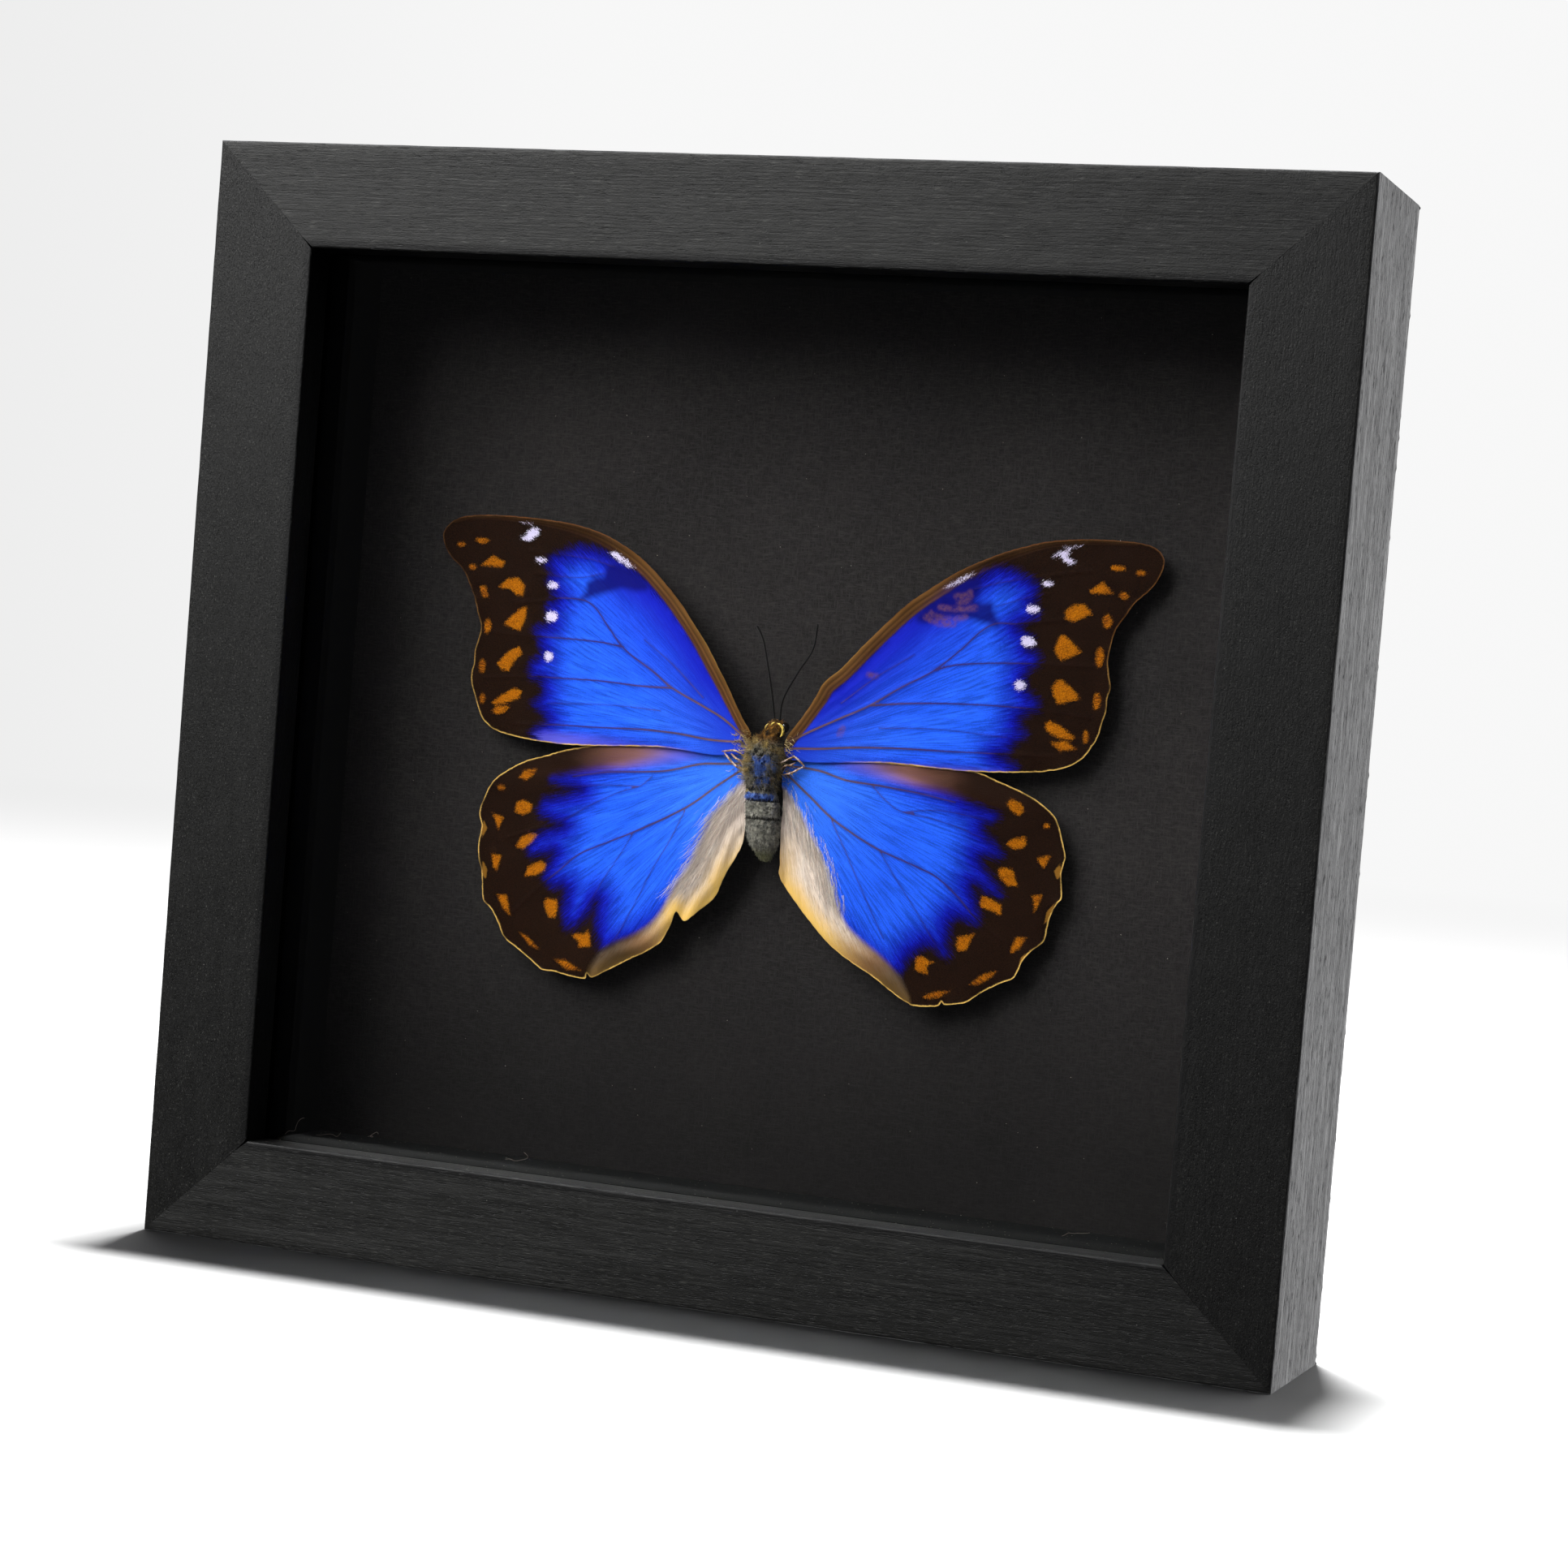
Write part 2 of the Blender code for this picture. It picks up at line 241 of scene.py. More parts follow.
room = blend(tree, level, (0.022, 0.022, 0.023, 1.0), (1.45, 1.45, 1.46, 1.0))
backdrop = tree.nodes["Background"]
tree.links.new(room, backdrop.inputs["Color"])
across = axis_of(tree, way, 0)
wall = use_group(tree, wall_paper, {"Across": across})["Colour"]
seen = add_node(tree, "ShaderNodeBackground", {"Color": wall, "Strength": 1.0})
sight = add_node(tree, "ShaderNodeLightPath").outputs["Is Camera Ray"]
mixed = add_node(tree, "ShaderNodeMixShader", {0: sight, 1: backdrop.outputs[0], 2: seen.outputs[0]})
tree.links.new(mixed.outputs[0], tree.nodes["World Output"].inputs[0])


def add_soft_box(name, place, size, power, aim):
    """A square area light at place that faces aim."""
    lamp = bpy.data.lights.new(name, "AREA")
    lamp.shape = "SQUARE"
    lamp.size = size
    lamp.energy = power
    holder = bpy.data.objects.new(name, lamp)
    scene.collection.objects.link(holder)
    holder.location = place
    holder.rotation_euler = (Vector(aim) - Vector(place)).to_track_quat("-Z", "Y").to_euler()
    return holder


key_box = add_soft_box("key_box", (-0.5, -0.55, 0.7), 0.7, 15.5, face_centre)
top_box = add_soft_box("top_box", (-0.1, 0.17, 2.5), 0.3, 50.0, face_centre)
floor_box = add_soft_box("floor_box", (-0.08, 0.3, 2.5), 0.2, 280.0, face_centre)
floor_box.data.shape = "RECTANGLE"
floor_box.data.size_y = 0.12
spared = bpy.data.collections.new("not_lit_by_boxes")
spared.objects.link(floor)
spared.collection_objects[0].light_linking.link_state = "EXCLUDE"
key_box.light_linking.receiver_collection = spared
top_box.light_linking.receiver_collection = spared
table_only = bpy.data.collections.new("lit_by_floor_box")
table_only.objects.link(floor)
floor_box.light_linking.receiver_collection = table_only

# ---------------------------------------------------------------------------
# Rails
# Four lengths of open-grained wood, rebated behind the face, mitred, glued and
# painted satin black. The saw left small burrs along the rear arris.
# ---------------------------------------------------------------------------
rail_low, rail_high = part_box("rail_top")
side_low, side_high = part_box("rail_left")
glass_low, glass_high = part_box("glass_pane")
CLEARANCE = 0.3 * MM
RAIL_STEP = 0.7 * MM
MITRE_LINE = 0.015 * MM
ARRIS = 0.45 * MM
BURR = 0.34 * MM
SECTION_STEP = 1.6 * MM
JOINT_REACH = 0.9 * MM
JOINT_NOTCH = 0.35 * MM
WANDER = 0.05 * MM
RIPPLE = 0.03 * MM
half_width = (cad_high.x - cad_low.x) / 2
half_height = (cad_high.z - cad_low.z) / 2
depth = cad_high.y - cad_low.y
lip = glass_low.y - CLEARANCE - cad_low.y
cross_face = rail_high.z - rail_low.z
side_face = side_high.x - side_low.x
opening_x = half_width - side_face
opening_z = half_height - cross_face
rebate = glass_high.x + CLEARANCE - opening_x


def rounded_section(corners, radius, step):
    """Points round a closed section whose outer corners are rounded, each with its nearness to one."""
    points = []
    count = len(corners)
    for index, corner in enumerate(corners):
        corner = Vector(corner)
        before = (Vector(corners[index - 1]) - corner).normalized()
        after_corner = Vector(corners[(index + 1) % count])
        after = (after_corner - corner).normalized()
        for turn in range(5):
            share = turn / 4
            near, far = corner + before * radius, corner + after * radius
            arc = near.lerp(corner, share).lerp(corner.lerp(far, share), share)
            points.append((arc, 1.0))
        start, end = corner + after * radius, after_corner - after * radius
        steps = max(1, round((end - start).length / step))
        points += [(start.lerp(end, place / steps), 0.0) for place in range(1, steps)]
    return points


def finished_mesh(name, bm):
    """Turns a working mesh into a smooth finished one."""
    mesh = bpy.data.meshes.new(name)
    bm.to_mesh(mesh)
    bm.free()
    mesh.shade_smooth()
    return mesh


def skinned(name, bm, rings):
    """Closes rings of vertices into one solid with capped ends."""
    for near, far in zip(rings, rings[1:]):
        for index in range(len(near)):
            after = (index + 1) % len(near)
            bm.faces.new((near[index], near[after], far[after], far[index]))
    bm.faces.new(rings[0])
    bm.faces.new(rings[-1])
    bmesh.ops.recalc_face_normals(bm, faces=bm.faces)
    return finished_mesh(name, bm)


def rail_mesh(name, face, mitre, length, reach, along, across):
    """A mitred rail: its section swept from one mitre to the other, slightly uneven."""
    corners = (
        (0.0, 0.0), (face, 0.0), (face, lip), (face - rebate, lip), (face - rebate, depth), (0.0, depth),
    )
    section = rounded_section(corners, ARRIS, SECTION_STEP)
    stations = round(length / RAIL_STEP)
    middle = Vector((0.0, 0.0, face_centre.z))
    bm = bmesh.new()
    arris_highlight = bm.verts.layers.float.new("arris_highlight")
    outside = bm.verts.layers.float.new("outside")
    rings = []
    for station in range(stations + 1):
        share = 2 * station / stations - 1
        ring = []
        for (inward, back), arris in section:
            notch = max(0.0, 1 - Vector((inward - face, back)).length / JOINT_REACH)
            end = length / 2 - inward * mitre - MITRE_LINE - notch * JOINT_NOTCH
            place = along * share * end
            probe = (place + across * 3.1 + Vector((inward, 0, back))) * 140
            ragged = noise.fractal(probe, 1.0, 2.0, 3)
            rear = max(0.0, 1 - Vector((inward, back - depth)).length / JOINT_REACH)
            burr = max(0.0, noise.noise((place * 620) + across) - 0.22) * 2.2
            inset = rear * BURR * (1 - min(1.0, burr))
            wander = WANDER * (0.5 + 0.5 * ragged) * (1 if inward < face - rebate else 0.4)
            inward = min(max(inward + wander * (1 - 2 * inward / face) + inset, 0.0), face)
            back = min(max(back + RIPPLE * (1 + ragged) * (1 - 2 * back / depth), 0.0), depth)
            vert = bm.verts.new(
                middle + across * (reach - inward) + place + Vector((0.0, cad_low.y + back, 0.0))
            )
            # The arrises get a painted highlight, stronger along the inner front arris
            vert[arris_highlight] = arris * (0.5 if face - inward < 1.5 * ARRIS and back < 2 * ARRIS else 0.25)
            # outside: 1 on the outer side, 0 on the face, -1 on the faces behind it and on the inner front
            # arris, where the paint puts painted shade
            vert[outside] = 1.0 if inward < 0.5 * ARRIS else -1.0 if back > 0.4 * ARRIS else 0.0
            if arris and face - inward < 1.2 * ARRIS:
                vert[outside] = -1.0
            ring.append(vert)
        rings.append(ring)
    mesh = skinned(name, bm, rings)
    mesh.set_sharp_from_angle(angle=math.radians(35))
    return mesh


def new_finish(name, **values):
    """A material whose shader has plain values set; returns it, its tree, shader and coordinates."""
    finish = bpy.data.materials.new(name)
    finish.use_nodes = True
    tree = finish.node_tree
    shader = tree.nodes["Principled BSDF"]
    for label, value in values.items():
        shader.inputs[label.replace("_", " ")].default_value = value
    coordinates = add_node(tree, "ShaderNodeTexCoord").outputs["Object"]
    return finish, tree, shader, coordinates


def roughen(tree, shader, height, distance, strength=1.0):
    """Drives the shader's normal from a height."""
    inputs = {"Height": height, "Distance": distance, "Strength": strength}
    bump = add_node(tree, "ShaderNodeBump", inputs).outputs[0]
    tree.links.new(bump, shader.inputs["Normal"])


def read(tree, label):
    """The value of a pattern stored on the mesh."""
    return add_node(tree, "ShaderNodeAttribute", attribute_name=label).outputs["Fac"]


grain, entry, leave = new_group(
    "open_grain",
    (("Along", "Vector", None),),
    (("Tone", "Float"), ("Pores", "Float"), ("Painted glints", "Float"), ("Height", "Float")),
)
along = entry["Along"]
bands = mottle(grain, spread(grain, along, (25.0, 520.0, 520.0)), detail=3.0)
streaks = mottle(grain, spread(grain, along, (110.0, 2300.0, 2300.0)), detail=3.0, roughness=0.6)
hairs = mottle(grain, spread(grain, along, (420.0, 5200.0, 5200.0)), detail=2.0)
pores = fall(grain, hairs, 0.3, 0.42)
tone = plus(grain, times(grain, bands, 0.35), times(grain, streaks, 0.65))
relief = plus(grain, times(grain, streaks, 0.7), times(grain, bands, 0.5))
relief = less(grain, relief, times(grain, pores, 0.35))
# Short pale ticks along the grain, used as painted glints
painted_glints = rise(grain, hairs, 0.6, 0.74)
fill(grain, leave, {"Tone": tone, "Pores": pores, "Painted glints": painted_glints, "Height": relief})

specks, entry, leave = new_group(
    "dust_specks",
    (
        ("Where", "Vector", None), ("Per metre", "Float", 600.0),
        ("Kept", "Float", 0.1), ("Size", "Float", 0.1),
    ),
    (("Mask", "Float"),),
)
cells = add_node(specks, "ShaderNodeTexVoronoi", {"Vector": entry["Where"], "Scale": entry["Per metre"]})
chance = add_node(specks, "ShaderNodeSeparateColor", {0: cells.outputs["Color"]})
kept = sums(specks, "LESS_THAN", chance.outputs[0], entry["Kept"])
size = times(specks, entry["Size"], plus(specks, 0.5, chance.outputs[1]))
near = fall(specks, cells.outputs["Distance"], 0.0, size)
fill(specks, leave, {"Mask": times(specks, kept, near)})


paint, entry, leave = new_group(
    "black_paint",
    (
        ("Where", "Vector", None), ("Along", "Vector", None), ("Squeezed", "Vector", None),
        ("Outside", "Float", 0.0), ("Arris highlight", "Float", 0.0), ("Low", "Color", tint(9, 9, 8)),
        ("Middle", "Color", tint(15, 15, 14)), ("High", "Color", tint(22, 22, 21)),
    ),
    (("Colour", "Color"), ("Roughness", "Float"), ("Height", "Float")),
)
where, along, outside = entry["Where"], entry["Along"], entry["Outside"]
wood = use_group(paint, grain, {"Along": entry["Squeezed"]})
flank = use_group(paint, grain, {"Along": spread(paint, along, (1.1, 0.9, 0.9))})
outer = rise(paint, outside, 0.0, 1.0)
# The face: smooth paint with shallow pores, with painted shade towards the right and in the rebate
lighter = times(paint, less(paint, wood["Tone"], 0.34), 6.25, clamp=True)
lightest = times(paint, less(paint, wood["Tone"], 0.5), 6.25, clamp=True)
face = blend(paint, lighter, entry["Low"], entry["Middle"])
face = blend(paint, lightest, face, entry["High"])
face = blend(paint, times(paint, wood["Pores"], 0.75), face, tint(6, 6, 6))
# Painted glints: pale ticks along the grain
face = blend(paint, times(paint, wood["Painted glints"], 0.4), face, tint(96, 96, 92))
# Painted shade: the faces behind the front face and the inner front arris are darkened
rebate_painted_shade = rise(paint, outside, -0.2, -0.8)
face = blend(paint, rebate_painted_shade, face, tint(5, 5, 5))
# Painted shade: the paint darkens towards the right
painted_shade_right = rise(paint, axis_of(paint, where, 0), 0.02, 0.1)
face = blend(paint, times(paint, painted_shade_right, 0.35), face, tint(8, 8, 9))
# The outer side: open grain with the paint torn along the rear arris, its pale grey a painted reflection of
# the bright surroundings
side = ramp(
    paint, flank["Tone"], (0.38, tint(22, 22, 25)), (0.5, tint(56, 56, 59)), (0.62, tint(112, 113, 113))
)
side = blend(paint, times(paint, flank["Pores"], 0.5), side, tint(8, 8, 9))
dots = mottle(paint, spread(paint, along, (500.0, 1500.0, 1500.0)), detail=3.0)
dots = rise(paint, dots, 0.6, 0.7)
side = blend(paint, times(paint, dots, 0.6), side, tint(10, 10, 13))
rear = rise(paint, axis_of(paint, where, 1), cad_high.y - 1.3 * MM, cad_high.y - 0.4 * MM)
torn = times(paint, rear, rise(paint, mottle(paint, where, 620.0, 3.0), 0.42, 0.58))
side = blend(paint, torn, side, tint(4, 4, 5))
colour = blend(paint, outer, face, side)
# A painted highlight in pale patches along the arrises, dust on all of it
patchy = rise(paint, mottle(paint, where, 1100.0, 3.0), 0.54, 0.7)
arris_highlight_patches = times(paint, times(paint, entry["Arris highlight"], patchy), 0.3)
arris_highlight_patches = times(paint, arris_highlight_patches, less(paint, 1.0, times(paint, rebate_painted_shade, 0.7)))
colour = blend(paint, arris_highlight_patches, colour, tint(92, 90, 84))
dust = use_group(paint, specks, {"Where": where, "Per metre": 420.0, "Kept": 0.1, "Size": 0.09})
fine = use_group(paint, specks, {"Where": where, "Per metre": 1300.0, "Kept": 0.09, "Size": 0.16})
powder = sums(paint, "MAXIMUM", dust["Mask"], times(paint, fine["Mask"], 0.5))
colour = blend(paint, times(paint, powder, 0.55), colour, tint(130, 130, 124))
height = blend(paint, outer, wood["Height"], flank["Height"])
height = plus(paint, height, times(paint, mottle(paint, where, 3800.0, 2.0), 0.4))
smooth_paint = plus(paint, 0.38, times(paint, wood["Tone"], 0.3))
matt = plus(paint, times(paint, flank["Pores"], 0.3), times(paint, dots, 0.3))
satin = plus(paint, less(paint, 0.72, times(paint, flank["Tone"], 0.6)), matt)
rough = blend(paint, outer, smooth_paint, plus(paint, satin, torn))
fill(paint, leave, {"Colour": colour, "Roughness": rough, "Height": height})


def black_wood(name, turn, squeeze, levels):
    """Satin black paint over grain that runs along the rail; the outer side is the most open."""
    finish, tree, shader, coordinates = new_finish(name, Specular_IOR_Level=0.3)
    along = add_node(tree, "ShaderNodeMapping", {"Vector": coordinates, "Rotation": turn}).outputs[0]
    inputs = {
        "Where": coordinates, "Along": along, "Squeezed": spread(tree, along, (squeeze, 1.0, 1.0)),
        "Outside": read(tree, "outside"), "Arris highlight": read(tree, "arris_highlight"),
    }
    for label, level in zip(("Low", "Middle", "High"), levels):
        inputs[label] = tint(level, level, level - 1)
    coat = use_group(tree, paint, inputs)
    tree.links.new(coat["Colour"], shader.inputs["Base Color"])
    tree.links.new(coat["Roughness"], shader.inputs["Roughness"])
    roughen(tree, shader, coat["Height"], 0.12 * MM, 0.8)
    return finish


# Painted shade: the side rails get darker levels of the same black paint than the top and bottom rails
cross_wood = black_wood("black_wood_cross", (0.0, 0.0, 0.0), 1.0, (19, 31, 45))
side_wood = black_wood("black_wood_side", (0.0, math.pi / 2, 0.0), 5.0, (9, 15, 22))


def add_piece(name, mesh, finishes, slot, *stands_for):
    """Makes a mesh a piece of the object, in its finish, on the one body."""
    mesh.materials.clear()
    for finish in finishes:
        mesh.materials.append(finish)
    piece = bpy.data.objects.new(name, mesh)
    scene.collection.objects.link(piece)
    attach(piece, "root")
    if stands_for:
        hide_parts(*stands_for)
    return piece


for name, side, outward in (
    ("rail_top", False, 1), ("rail_bottom", False, -1), ("rail_left", True, -1), ("rail_right", True, 1),
):
    if side:
        size = (side_face, cross_face / side_face, 2 * half_height, half_width)
        axes = (Vector((0, 0, 1)), Vector((outward, 0, 0)))
    else:
        size = (cross_face, side_face / cross_face, 2 * half_width, half_height)
        axes = (Vector((1, 0, 0)), Vector((0, 0, outward)))
    mesh = rail_mesh("painted_" + name, *size, *axes)
    add_piece("painted_" + name, mesh, [side_wood if side else cross_wood], "black_wood", name)

# ---------------------------------------------------------------------------
# Glass
# A pane of clear picture glass, cut a little smaller than the rebate. The spacers
# hold it against the back of the lip.
# ---------------------------------------------------------------------------
clear, tree, shader, coordinates = new_finish(
    "clear_glass", Base_Color=(0.97, 0.985, 0.98, 1.0), Roughness=0.0, IOR=1.45,
    Transmission_Weight=1.0, Specular_IOR_Level=0.15,
)
let_through = add_node(tree, "ShaderNodeBsdfTransparent", {"Color": (0.95, 0.97, 0.96, 1.0)})
shadow = add_node(tree, "ShaderNodeLightPath").outputs["Is Shadow Ray"]
mixed = add_node(tree, "ShaderNodeMixShader", {0: shadow, 1: shader.outputs[0], 2: let_through.outputs[0]})
tree.links.new(mixed.outputs[0], tree.nodes["Material Output"].inputs[0])


def finish_node(name, finish):
    """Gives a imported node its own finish."""
    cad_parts[name].data.materials.clear()
    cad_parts[name].data.materials.append(finish)


finish_node("glass_pane", clear)

# ---------------------------------------------------------------------------
# Spacers
# Four strips of black card that line the rebate between the glass and the backing
# card. They press the glass forward and keep it off the specimen.
# ---------------------------------------------------------------------------
black_card, tree, shader, coordinates = new_finish("black_card", Specular_IOR_Level=0.1)
fibres = mottle(tree, coordinates, 1800.0, 4.0, 0.6)
shade = ramp(tree, fibres, (0.35, tint(5, 5, 5)), (0.65, tint(13, 13, 13)))
dust = use_group(tree, specks, {"Where": coordinates, "Per metre": 260.0, "Kept": 0.12, "Size": 0.07})
shade = blend(tree, times(tree, dust["Mask"], 0.6), shade, tint(150, 148, 140))
tree.links.new(shade, shader.inputs["Base Color"])
tree.links.new(plus(tree, 0.7, times(tree, fibres, 0.25)), shader.inputs["Roughness"])
roughen(tree, shader, fibres, 0.05 * MM, 0.5)
for side in ("top", "bottom", "left", "right"):
    finish_node("spacer_" + side, black_card)

# ---------------------------------------------------------------------------
# Backing card
# Mount board faced with charcoal paper that is embossed like fine linen. It lies
# against the spacers, and the butterfly is pinned to it.
# ---------------------------------------------------------------------------
linen, tree, shader, coordinates = new_finish("charcoal_card", Specular_IOR_Level=0.05, Roughness=0.85)
THREAD = 0.36 * MM
weft = mottle(tree, spread(tree, coordinates, (700.0, 900.0, 1.6 / THREAD)), detail=2.0)
warp = mottle(tree, spread(tree, coordinates, (1.6 / THREAD, 900.0, 800.0)), detail=2.0)
weave = sums(tree, "MAXIMUM", weft, times(tree, warp, 0.95))
nap = mottle(tree, coordinates, 6500.0, 2.0)
cloudy = mottle(tree, coordinates, 30.0, 2.0)
tone = plus(tree, times(tree, weave, 0.6), times(tree, nap, 0.3))
tone = plus(tree, tone, times(tree, cloudy, 0.15))
shade = ramp(tree, tone, (0.42, tint(28, 26, 26)), (0.55, tint(40, 37, 37)), (0.7, tint(52, 49, 48)))
# Painted shade: the card darkens towards the bottom
painted_shade_low = axis_of(tree, coordinates, 2)
painted_shade_low = rise(tree, painted_shade_low, face_centre.z - 22 * MM, face_centre.z - 76 * MM)
shade = blend(tree, times(tree, painted_shade_low, 0.6), shade, tint(12, 11, 11))
dust = use_group(tree, specks, {"Where": coordinates, "Per metre": 300.0, "Kept": 0.1, "Size": 0.06})
shade = blend(tree, times(tree, dust["Mask"], 0.5), shade, tint(150, 148, 140))
tree.links.new(shade, shader.inputs["Base Color"])
roughen(tree, shader, tone, 0.06 * MM, 0.6)
finish_node("backing_card", linen)

# ---------------------------------------------------------------------------
# Back board, framer's points and hanger
# A hardboard back held by four flat zinc points, and a toothed brass-plated
# hanger fixed to it with two small nails.
# ---------------------------------------------------------------------------
hardboard, tree, shader, coordinates = new_finish("fibreboard", Specular_IOR_Level=0.3)
flecks = mottle(tree, spread(tree, coordinates, (900.0, 900.0, 900.0)), detail=5.0, roughness=0.7)
clouds = mottle(tree, coordinates, 45.0, 3.0)
SCREEN_PITCH = 4200.0
mesh_x, mesh_z = (
    sums(tree, "SINE", times(tree, axis_of(tree, coordinates, axis), SCREEN_PITCH)) for axis in (0, 2)
)
screen = times(tree, mesh_x, mesh_z)
tone = plus(tree, times(tree, flecks, 0.7), times(tree, clouds, 0.3))
shade = ramp(tree, tone, (0.3, tint(92, 66, 42)), (0.5, tint(126, 94, 62)), (0.7, tint(158, 124, 86)))
shade = blend(tree, times(tree, rise(tree, screen, 0.1, 0.9), 0.35), shade, tint(84, 60, 38))
tree.links.new(shade, shader.inputs["Base Color"])
tree.links.new(plus(tree, 0.62, times(tree, flecks, 0.3)), shader.inputs["Roughness"])
height = less(tree, flecks, times(tree, screen, 0.25))
roughen(tree, shader, height, 0.12 * MM, 0.6)
finish_node("back_board", hardboard)


rolled, entry, leave = new_group(
    "rolled_plate",
    (
        ("Where", "Vector", None), ("Stretch", "Vector", None),
        ("Dull", "Color", tint(120, 122, 124)), ("Bright", "Color", tint(196, 198, 200)),
    ),
    (("Colour", "Color"), ("Roughness", "Float"), ("Lines", "Float")),
)
lines = mottle(rolled, spread(rolled, entry["Where"], entry["Stretch"]), detail=3.0)
patches = mottle(rolled, entry["Where"], 260.0, 4.0)
share = plus(rolled, times(rolled, lines, 0.5), times(rolled, patches, 0.5))
share = times(rolled, less(rolled, share, 0.35), 4.0, clamp=True)
colour = blend(rolled, share, entry["Dull"], entry["Bright"])
rough = plus(rolled, 0.25, times(rolled, patches, 0.35))
fill(rolled, leave, {"Colour": colour, "Roughness": rough, "Lines": lines})


def plated(name, dull, bright, stretch):
    """Thin plated sheet metal with rolling lines and dull patches."""
    finish, tree, shader, coordinates = new_finish(name, Metallic=1.0)
    inputs = {"Where": coordinates, "Stretch": stretch, "Dull": dull, "Bright": bright}
    plate = use_group(tree, rolled, inputs)
    tree.links.new(plate["Colour"], shader.inputs["Base Color"])
    tree.links.new(plate["Roughness"], shader.inputs["Roughness"])
    roughen(tree, shader, plate["Lines"], 0.02 * MM, 0.5)
    return finish


zinc = plated("zinc_steel", tint(120, 122, 124), tint(196, 198, 200), (300.0, 300.0, 5000.0))
brass = plated("brass_plate", tint(140, 108, 54), tint(214, 178, 104), (300.0, 300.0, 6000.0))
for row in ("upper", "lower"):
    for column in ("left", "right"):
        finish_node(f"point_{row}_{column}", zinc)
finish_node("hanger", brass)

hanger_low, hanger_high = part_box("hanger")
NAIL_RADIUS = 1.1 * MM
NAIL_INSET = 3.6 * MM


def new_geometry(name, takes):
    """An empty Geometry Nodes tree with named inputs; returns it, its inputs and its output socket."""
    group = bpy.data.node_groups.new(name, "GeometryNodeTree")
    group.interface.new_socket("Geometry", in_out="INPUT", socket_type="NodeSocketGeometry")
    for label, kind in takes:
        group.interface.new_socket(label, in_out="INPUT", socket_type="NodeSocket" + kind)
    group.interface.new_socket("Geometry", in_out="OUTPUT", socket_type="NodeSocketGeometry")
    entry = group.nodes.new("NodeGroupInput").outputs
    leave = group.nodes.new("NodeGroupOutput").inputs
    return group, entry, leave


def grow(group, start, values):
    """Runs a Geometry Nodes tree on a mesh and returns the plain mesh that it makes."""
    holder = bpy.data.objects.new(group.name, start)
    scene.collection.objects.link(holder)
    modifier = holder.modifiers.new(group.name, "NODES")
    modifier.node_group = group
    for item in group.interface.items_tree:
        if item.in_out == "INPUT" and item.name in values:
            modifier[item.identifier] = values[item.name]
    evaluated = holder.evaluated_get(bpy.context.evaluated_depsgraph_get())
    made = bpy.data.meshes.new_from_object(evaluated)
    bpy.data.objects.remove(holder)
    return made


def settle(group, leave, points, instance, finish, smooth, **more):
    """Ends a Geometry Nodes tree: an instance on every point, made real and given its finish."""
    inputs = {"Points": points, "Instance": instance} | more
    real = add_node(group, "GeometryNodeInstanceOnPoints", inputs).outputs[0]
    real = add_node(group, "GeometryNodeRealizeInstances", {0: real}).outputs[0]
    if smooth:
        real = add_node(group, "GeometryNodeSetShadeSmooth", {0: real}).outputs[0]
    done = add_node(group, "GeometryNodeSetMaterial", {"Geometry": real, "Material": finish})
    group.links.new(done.outputs[0], leave[0])


nails, entry, leave = new_geometry(
    "nail_heads", (("Head radius", "Float"), ("Head height", "Float"), ("Finish", "Material"))
)
inputs = {"Segments": 20, "Rings": 10, "Radius": entry["Head radius"]}
head = add_node(nails, "GeometryNodeMeshUVSphere", inputs)
squash = add_node(nails, "ShaderNodeCombineXYZ", {0: 1.0, 1: entry["Head height"], 2: 1.0}).outputs[0]
flat = add_node(nails, "GeometryNodeTransform", {"Geometry": head.outputs[0], "Scale": squash})
settle(nails, leave, entry["Geometry"], flat.outputs[0], entry["Finish"], True)
nail_z = (hanger_low.z + hanger_high.z) / 2 - 0.6 * MM
places = bpy.data.meshes.new("nail_places")
nail_x = (hanger_low.x + NAIL_INSET, hanger_high.x - NAIL_INSET)
places.from_pydata([(x, hanger_high.y - 0.05 * MM, nail_z) for x in nail_x], [], [])
nail_mesh = grow(nails, places, {"Head radius": NAIL_RADIUS, "Head height": 0.45, "Finish": brass})
add_piece("hanger_nails", nail_mesh, [brass], "brass_plate")

# ---------------------------------------------------------------------------
# Wings
# Two forewings over two hindwings, spread flat and dried: thin membranes on
# raised veins, shingled with blue, brown, orange and white scales, one of them
# torn. Their outlines are in millimetres from the middle of the opening.
# ---------------------------------------------------------------------------
FOREWING_DEPTH = 19.6
HINDWING_DEPTH = 20.4
WING_SLOPE = math.tan(math.radians(4.0))
WING_THICKNESS = 0.12 * MM
SCALE_STEP = 0.4
FORE_BASE = (3.4, -1.2)
HIND_BASE = (3.4, -4.8)
PLEAT_DEPTH = 0.05
PLEAT_COUNT = 46
WING_SAG = 0.35
VEIN_RISE = 0.09
MARGIN_CURL = 0.25
COSTA_RISE = 0.22

